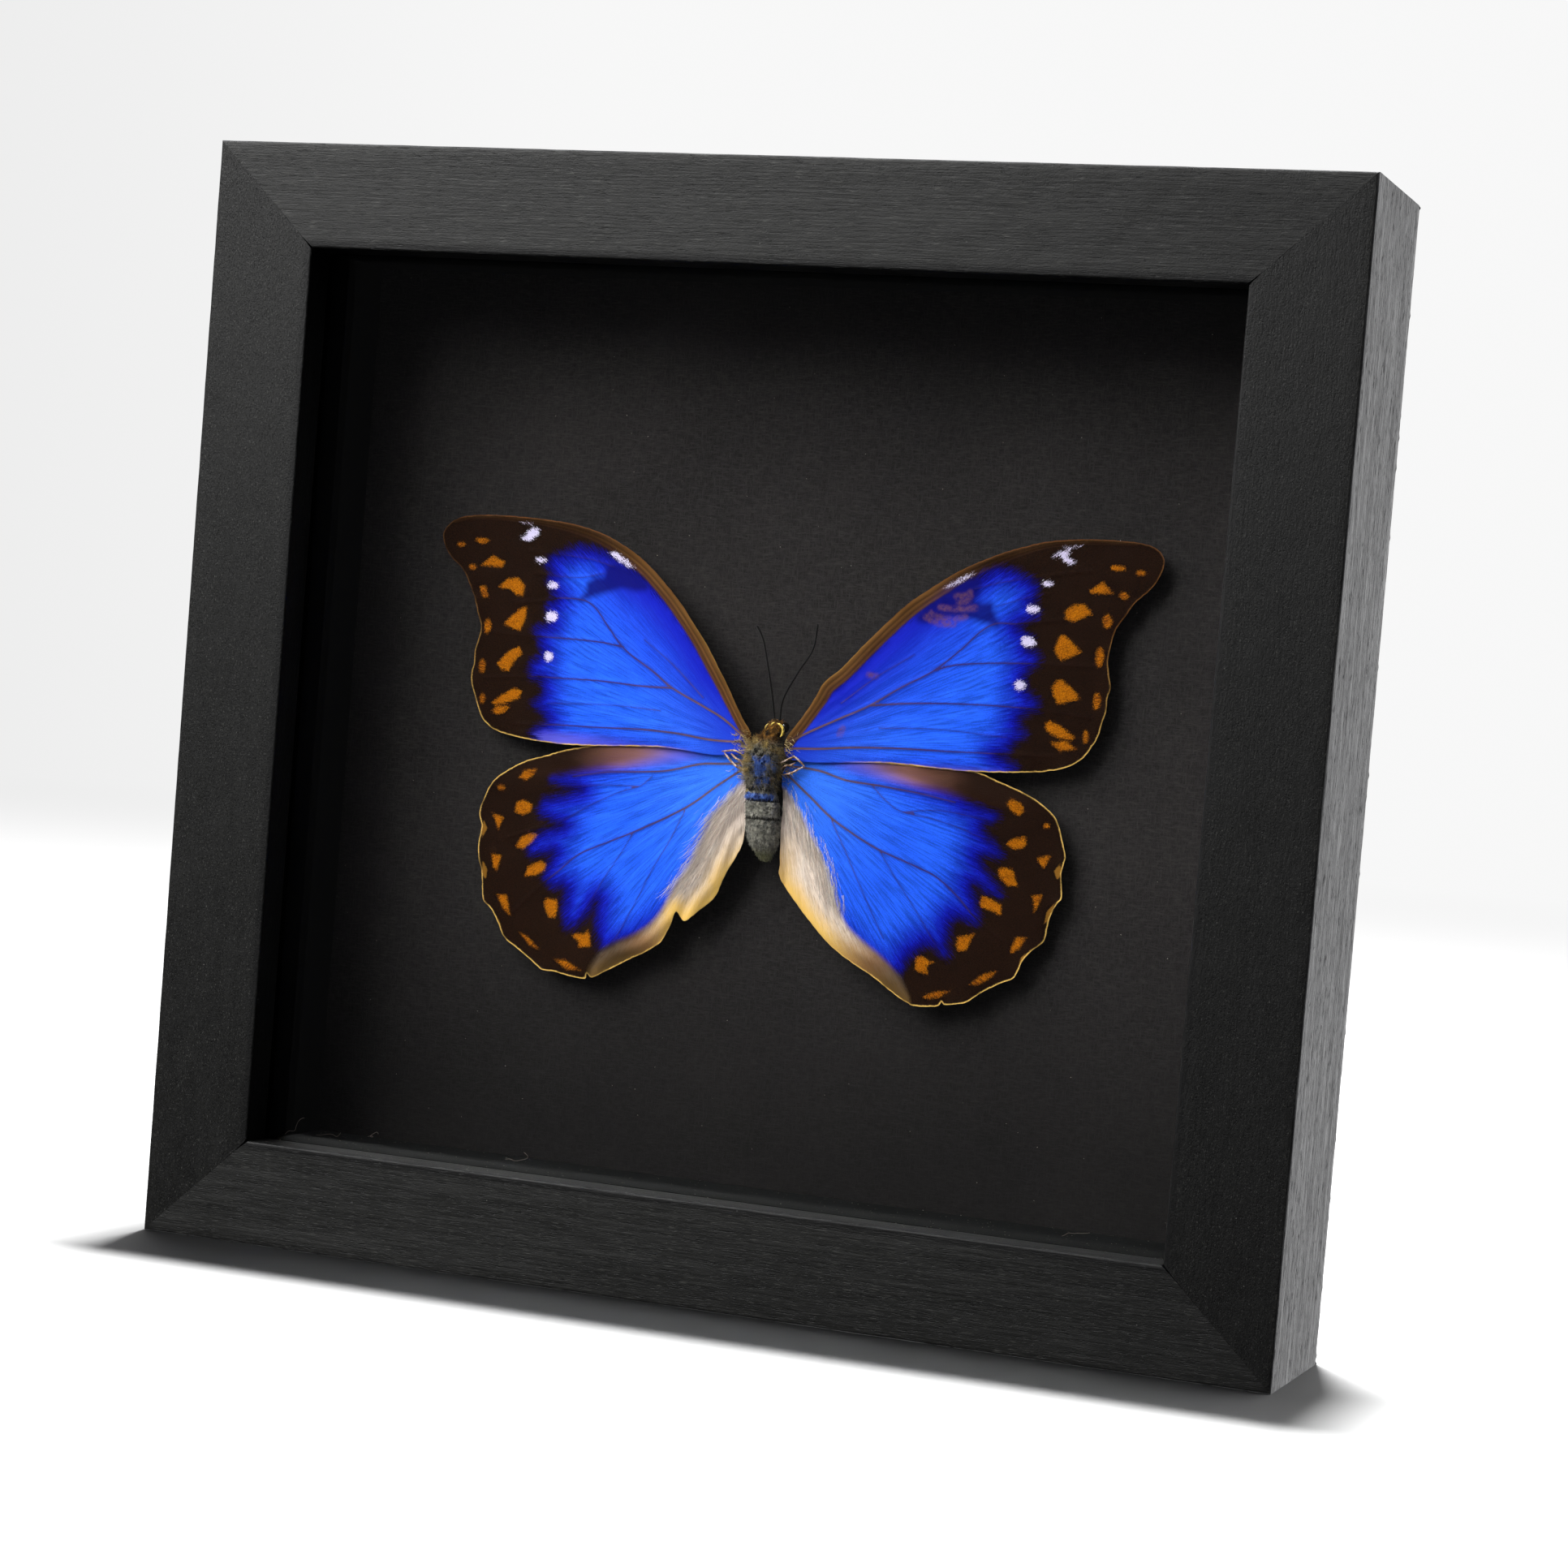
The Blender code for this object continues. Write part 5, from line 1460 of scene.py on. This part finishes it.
inputs = {"Vertices": 3, "Side Segments": 3, "Radius Bottom": entry["Radius"], "Depth": entry["Length"]}
inputs["Radius Top"] = times(fur, entry["Radius"], 0.25)
strand = add_node(fur, "GeometryNodeMeshCone", inputs)
up = axis_of(fur, add_node(fur, "GeometryNodeInputPosition").outputs[0], 2)
bow = sums(fur, "DIVIDE", times(fur, times(fur, up, up), 0.3), entry["Length"])
bow = add_node(fur, "ShaderNodeCombineXYZ", {0: bow}).outputs[0]
bent = add_node(fur, "GeometryNodeSetPosition", {"Geometry": strand.outputs[0], "Offset": bow}).outputs[0]
inputs = {0: (-1.0, -1.0, -1.0), 1: (1.0, 1.0, 1.0), "Seed": entry["Seed"]}
stray = add_node(fur, "FunctionNodeRandomValue", inputs, data_type="FLOAT_VECTOR").outputs[0]
inputs = {0: roots.outputs["Normal"], "Scale": entry["Stand"]}
lift = add_node(fur, "ShaderNodeVectorMath", inputs, operation="SCALE")
messy = add_node(fur, "ShaderNodeVectorMath", {0: stray, "Scale": entry["Ruffle"]}, operation="SCALE")
lie = add_node(fur, "ShaderNodeVectorMath", {0: lift.outputs[0], 1: entry["Comb"]})
lie = add_node(fur, "ShaderNodeVectorMath", {0: lie.outputs[0], 1: messy.outputs[0]}).outputs[0]
aimed = add_node(fur, "FunctionNodeAlignRotationToVector", {"Vector": lie}, axis="Z").outputs[0]
size = add_node(fur, "FunctionNodeRandomValue", {2: 0.55, 3: 1.15, "Seed": entry["Seed"]}).outputs[1]
more = {"Rotation": aimed, "Scale": size}
settle(fur, leave, marked.outputs[0], bent, entry["Finish"], True, **more)


hair_bands, entry, leave = new_group(
    "hair_bands", (("Where", "Vector", None), ("Hair", "Color", tint(186, 168, 158))), (("Colour", "Color"),)
)
share = times(hair_bands, mottle(hair_bands, entry["Where"], 1400.0, 2.0), 0.3)
fill(hair_bands, leave, {"Colour": blend(hair_bands, share, entry["Hair"], tint(60, 48, 36))})


def hair_finish(name, coated, low=(0, 0, 0), high=(0, 0, 0)):
    """Fine hair, each strand with its own tone."""
    finish, tree, shader, coordinates = new_finish(name, Roughness=0.55, Specular_IOR_Level=0.3)
    tone = read(tree, "tone")
    if coated:
        colour = use_group(tree, body_coat, {"Where": coordinates, "Tone": tone})["Colour"]
    else:
        colour = blend(tree, tone, tint(*low), tint(*high))
    banded = use_group(tree, hair_bands, {"Where": coordinates, "Hair": colour})
    tree.links.new(banded["Colour"], shader.inputs["Base Color"])
    return finish


coat = hair_finish("coat_hair", True)
tan_hair = hair_finish("tan_hair", False, (84, 58, 30), (240, 214, 150))
pale_hair = hair_finish("pale_hair", False, (186, 168, 158), (250, 238, 228))


def parted(mesh, keep):
    """A copy of a mesh with hair only where keep says, from each vertex's x, depth and height in mm."""
    copy = mesh.copy()
    co = np.zeros(len(copy.vertices) * 3, np.float32)
    copy.vertices.foreach_get("co", co)
    x, y, z = (co.reshape(-1, 3) - (0, cad_low.y, face_centre.z)).T / MM
    weight = copy.attributes.get("fur") or copy.attributes.new("fur", "FLOAT", "POINT")
    old = np.zeros(len(copy.vertices), np.float32)
    weight.data.foreach_get("value", old)
    weight.data.foreach_set("value", (keep(x, y, z, old)).astype(np.float32))
    return copy


def add_hair(name, mesh, finish, per_mm2, length, radius, comb, stand, ruffle, seed):
    """Grows hair on a mesh and adds it as a piece; lengths in mm."""
    values = {
        "Density": per_mm2 / MM ** 2, "Length": length * MM, "Radius": radius * MM, "Comb": comb,
        "Stand": stand, "Ruffle": ruffle, "Seed": seed, "Finish": finish,
    }
    return add_piece(name, grow(fur, mesh, values), [finish], "grey_body")


thorax = parted(body_mesh, lambda x, y, z, old: old * (z > -8.3) * (z < 0.4))
abdomen = parted(body_mesh, lambda x, y, z, old: old * (z < -8.3) * (z > -20.4))
head = parted(body_mesh, lambda x, y, z, old: old * (z > 0.2) * (z < 3.2))
add_hair("thorax_hair", thorax, coat, 30, 1.2, 0.05, (0.0, -0.1, -0.5), 0.5, 0.8, 3)
add_hair("abdomen_down", abdomen, coat, 70, 0.5, 0.05, (0.0, -0.02, -1.0), 0.35, 0.45, 5)
add_hair("head_hair", head, coat, 26, 0.5, 0.04, (0.2, -0.2, 0.5), 0.7, 0.6, 7)

# Tufts over the wing joints and the long hairs in the hindwing folds
for name, side, base_z, seed in (
    ("forewing_left", -1, -1.2, 11), ("forewing_right", 1, -1.2, 13),
    ("hindwing_left", -1, -4.8, 17), ("hindwing_right", 1, -4.8, 19),
):
    blade = bpy.data.objects["scaled_" + name].data
    near = parted(blade, lambda x, y, z, old: np.exp(-(np.hypot(x - side * 2.9, z - base_z) / 1.5) ** 2))
    add_hair("tuft_" + name, near, tan_hair, 40, 0.85, 0.06, (side * 0.7, -0.35, 0.0), 0.35, 0.8, seed)
for name, comb, seed in (("left", (-0.38, -0.05, -0.92), 23), ("right", (0.34, -0.05, -0.94), 29)):
    blade = bpy.data.objects["scaled_hindwing_" + name].data
    fold = np.zeros(len(blade.vertices), np.float32)
    blade.attributes["fold"].data.foreach_get("value", fold)
    lying = parted(blade, lambda x, y, z, old: np.exp(-((fold - 0.8) / 1.4) ** 2) * (z < -8) * (z > -27))
    add_hair("fold_hair_" + name, lying, pale_hair, 11, 3.2, 0.035, comb, 0.05, 0.2, seed)


def tube_mesh(name, path, radii, sides=10):
    """A closed round tube along a path in mm, with a radius at each point of it."""
    path = np.array(path, float)
    bm = bmesh.new()
    rings = []
    for index, centre in enumerate(path):
        ahead = path[min(index + 1, len(path) - 1)] - path[max(index - 1, 0)]
        ahead = Vector(ahead).normalized()
        across = ahead.cross(Vector((0.31, 0.87, 0.38))).normalized()
        up = ahead.cross(across)
        ring = []
        for turn in range(sides):
            angle = 2 * math.pi * turn / sides
            point = Vector(centre) + (across * math.cos(angle) + up * math.sin(angle)) * radii[index]
            place = (point.x * MM, cad_low.y + point.y * MM, face_centre.z + point.z * MM)
            ring.append(bm.verts.new(place))
        rings.append(ring)
    return skinned(name, bm, rings)


def joined(name, meshes):
    """One mesh made of several."""
    bm = bmesh.new()
    for mesh in meshes:
        bm.from_mesh(mesh)
    return finished_mesh(name, bm)


# Horny arms that hinge the wings: two dark-tipped struts and a pale sinew on each side
horn, tree, shader, coordinates = new_finish("wing_hinge", Roughness=0.4, Specular_IOR_Level=0.6)
tone = mottle(tree, coordinates, 1700.0, 3.0)
shade = ramp(tree, tone, (0.35, tint(74, 42, 24)), (0.5, tint(150, 112, 74)), (0.66, tint(236, 212, 196)))
tree.links.new(shade, shader.inputs["Base Color"])
roughen(tree, shader, tone, 0.1 * MM, 0.6)
for name, struts in (
    ("left", (
        ((-7.4, 19.7, -2.75), (-6.3, 19.5, -2.6), (-4.9, 19.2, -2.45), (-3.2, 18.8, -3.0)),
        ((-7.0, 19.8, -2.9), (-5.8, 19.7, -4.1), (-4.3, 19.5, -5.2), (-2.8, 19.2, -5.5)),
        ((-5.6, 19.5, -3.0), (-4.6, 19.2, -3.7), (-3.6, 19, -4.1), (-2.8, 18.9, -4.9)),
    )),
    ("right", (
        ((7.7, 19.9, -4.1), (7.0, 19.7, -3.4), (5.9, 19.4, -2.7), (4.5, 18.9, -3.4), (3.5, 18.8, -3.9)),
        ((7.4, 19.9, -4.2), (6.7, 19.9, -4.6), (5.4, 19.7, -5.4), (3.9, 19.3, -5.8)),
        ((6.1, 19.6, -3.6), (5.3, 19.4, -4.1), (4.6, 19.2, -4.2), (3.8, 19, -4.9)),
    )),
):
    tubes = []
    for strut in struts:
        path = smooth_path(strut, 0.15)
        share = np.linspace(0, 1, len(path))
        tubes.append(tube_mesh("strut", path, 0.06 + 0.13 * np.sin(np.pi * (0.1 + 0.85 * share))))
    add_piece("hinge_" + name, joined("hinge_" + name, tubes), [horn], "grey_body")

# Eyes, and gold tubes beside them that are painted highlights on the eyes
eye, tree, shader, coordinates = new_finish(
    "eye", Specular_IOR_Level=0.6, Coat_Weight=0.6, Coat_Roughness=0.08
)
facets = add_node(tree, "ShaderNodeTexVoronoi", {"Vector": coordinates, "Scale": 16000.0})
facets = facets.outputs["Distance"]
rim = mottle(tree, coordinates, 700.0, 2.0)
tree.links.new(ramp(tree, rim, (0.4, tint(12, 9, 8)), (0.7, tint(44, 28, 16))), shader.inputs["Base Color"])
tree.links.new(plus(tree, 0.12, times(tree, rim, 0.2)), shader.inputs["Roughness"])
roughen(tree, shader, facets, 0.02 * MM, 0.4)
eyes = []
for x, back, z in ((3.5, 20.2, 2.15), (0.35, 20.6, 1.95)):
    bm = bmesh.new()
    bmesh.ops.create_uvsphere(bm, u_segments=32, v_segments=20, radius=1.0)
    for vert in bm.verts:
        vert.co = (
            (x + vert.co.x * 0.72) * MM, cad_low.y + (back + vert.co.y * 0.85) * MM,
            face_centre.z + (z + vert.co.z * 0.88) * MM,
        )
    eyes.append(finished_mesh("eye", bm))
add_piece("eyes", joined("eyes", eyes), [eye], "grey_body")
gold_highlight, tree, shader, coordinates = new_finish("painted_glint_gold", Roughness=0.4, Specular_IOR_Level=0.6)
tone = mottle(tree, coordinates, 2600.0, 3.0)
shade = ramp(tree, tone, (0.35, tint(120, 84, 20)), (0.6, tint(248, 214, 96)))
tree.links.new(shade, shader.inputs["Base Color"])
roughen(tree, shader, tone, 0.08 * MM, 0.6)
rims = []
for path, thick in (
    (((2.5, 18.95, 2.75), (3.1, 18.95, 2.55), (3.55, 19.15, 1.9), (3.5, 19.2, 1.1), (3.2, 19.1, 0.5)), 0.2),
    (((0.3, 19.3, 1.5), (0.45, 19.05, 2.1), (0.95, 18.95, 2.6)), 0.08),
    (((1.5, 18.7, 2.3), (1.8, 18.7, 2.7), (2.1, 18.8, 2.9)), 0.08),
):
    curve = smooth_path(path, 0.12)
    rims.append(tube_mesh("rim", curve, 0.04 + thick * np.sin(np.pi * np.linspace(0.06, 0.94, len(curve)))))
add_piece("painted_eye_glints", joined("painted_eye_glints", rims), [gold_highlight], "grey_body")

# ---------------------------------------------------------------------------
# Antennae
# Two dark, finely ringed threads that grow from the top of the head and thicken
# a little towards the tip.
# ---------------------------------------------------------------------------
thread, tree, shader, coordinates = new_finish("dark_antenna", Roughness=0.6, Specular_IOR_Level=0.15)
rings = mottle(tree, spread(tree, coordinates, (400.0, 400.0, 4200.0)), detail=1.0)
tree.links.new(ramp(tree, rings, (0.4, tint(3, 2, 2)), (0.6, tint(11, 8, 7))), shader.inputs["Base Color"])
roughen(tree, shader, rings, 0.02 * MM, 0.5)
for name, path in (
    ("antenna_left", (
        (1.4, 20.4, 3.2), (0.6, 20.6, 7), (-0.6, 20.9, 11.5), (-2.2, 21.4, 16.5), (-3.8, 21.8, 19),
    )),
    ("antenna_right", (
        (2.3, 20.4, 3.2), (2.6, 20.6, 7), (4.7, 20.9, 11.5), (6.9, 21.4, 15.6), (7.2, 21.9, 20),
    )),
):
    curve = smooth_path(path, 0.12)
    share = np.linspace(0, 1, len(curve))
    radii = 0.16 + 0.07 * np.exp(-(share / 0.02) ** 2) + 0.045 * np.clip((share - 0.85) / 0.1, 0, 1)
    radii *= 1 + 0.06 * np.sin(share * 260)
    radii[-3:] *= (0.9, 0.7, 0.35)
    add_piece("fine_" + name, tube_mesh("fine_" + name, curve, radii, 8), [thread], "dark_antenna", name)

# ---------------------------------------------------------------------------
# Pin
# A blued steel entomological pin with its head cut off, pushed through the thorax
# into the card.
# ---------------------------------------------------------------------------
blued, tree, shader, coordinates = new_finish("pin_steel", Metallic=1.0)
drawn = mottle(tree, spread(tree, coordinates, (6000.0, 300.0, 6000.0)), detail=2.0)
shade = ramp(tree, drawn, (0.35, tint(22, 22, 26)), (0.65, tint(58, 58, 66)))
tree.links.new(shade, shader.inputs["Base Color"])
tree.links.new(plus(tree, 0.2, times(tree, drawn, 0.3)), shader.inputs["Roughness"])
finish_node("insect_pin", blued)

# ---------------------------------------------------------------------------
# Dust
# Pale motes on the card, the spacers and the bottom lip, and a few loose
# fibres caught along the lower edge of the glass.
# ---------------------------------------------------------------------------
motes, entry, leave = new_geometry("motes", (
    ("Density", "Float"), ("Mote size", "Float"), ("Seed", "Int"), ("Finish", "Material"),
))
inputs = {"Mesh": entry["Geometry"], "Density": entry["Density"], "Seed": entry["Seed"]}
places = add_node(motes, "GeometryNodeDistributePointsOnFaces", inputs)
grit = add_node(motes, "GeometryNodeMeshIcoSphere", {"Radius": entry["Mote size"], "Subdivisions": 1})
inputs = {0: (0.25, 0.25, 0.25), 1: (1.2, 0.7, 1.0), "Seed": entry["Seed"]}
size = add_node(motes, "FunctionNodeRandomValue", inputs, data_type="FLOAT_VECTOR").outputs[0]
more = {"Rotation": places.outputs["Rotation"], "Scale": size}
settle(motes, leave, places.outputs[0], grit.outputs[0], entry["Finish"], False, **more)
chalky, tree, shader, coordinates = new_finish("dust", Roughness=0.9, Specular_IOR_Level=0.2)
tone = mottle(tree, coordinates, 900.0, 2.0)
shade = ramp(tree, tone, (0.35, tint(92, 88, 80)), (0.65, tint(190, 186, 174)))
tree.links.new(shade, shader.inputs["Base Color"])
card_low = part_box("backing_card")[0]
inner_x, inner_z = opening_x + 0.3 * MM, opening_z + 0.3 * MM


def sheet_mesh(low, high):
    """A flat rectangle between two opposite corners."""
    mesh = bpy.data.meshes.new("dusty_face")
    low, high = Vector(low), Vector(high)
    corners = ((low.x, *low.yz), (high.x, *low.yz), (high.x, *high.yz), (low.x, *high.yz))
    mesh.from_pydata(corners, [], [(0, 1, 2, 3)])
    return mesh


bottom = face_centre.z - inner_z
lip_top = face_centre.z - opening_z
for name, low, high, per_mm2, size, seed in (
    ("card_motes", (-inner_x, card_low.y, bottom), (inner_x, card_low.y, bottom + 2 * inner_z),
     0.006, 0.09, 31),
    ("ledge_motes", (-inner_x, glass_high.y + 0.5 * MM, bottom), (inner_x, card_low.y, bottom),
     0.09, 0.07, 37),
    ("lip_motes", (-opening_x, cad_low.y + 1 * MM, lip_top), (opening_x, glass_low.y, lip_top),
     0.12, 0.07, 41),
):
    values = {"Density": per_mm2 / MM ** 2, "Mote size": size * MM, "Seed": seed, "Finish": chalky}
    add_piece(name, grow(motes, sheet_mesh(low, high), values), [chalky], "charcoal_card")

FIBRE_RADIUS = 0.018
FIBRE_POINTS = 24
LEDGE_HEIGHT = -76.45
lint = []
for x, back, z, reach, lean, seed in (
    (-79.8, 10, -75.8, 4, 0.7, 1), (-77, 16, -76.2, 5, 0.2, 2), (-70, 22, -76.2, 2, 0.5, 3),
    (-41, 18, -76.3, 4, 0.2, 5), (61, 15, -76.2, 4, 0.2, 8),
):
    way = np.array((math.cos(lean), 0.15, math.sin(lean)))
    share = np.linspace(0, 1, FIBRE_POINTS)[:, None]
    curl = np.array([noise.noise_vector(Vector((s * 2.5, seed * 7.3, 1.0))) for s in share[:, 0]])
    path = np.array((x, back, z)) + way * share * reach + curl * (1.6, 0.8, 1.2) * share * 1.6
    path[:, 2] = np.maximum(path[:, 2], LEDGE_HEIGHT)
    lint.append(tube_mesh("fibre", path, np.full(FIBRE_POINTS, FIBRE_RADIUS), 5))
add_piece("lint", joined("lint", lint), [pale_hair], "charcoal_card")

# ---------------------------------------------------------------------------
# The finished object's box; the imported model's box was found at the start
# ---------------------------------------------------------------------------
bpy.context.view_layer.update()
low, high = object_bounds()
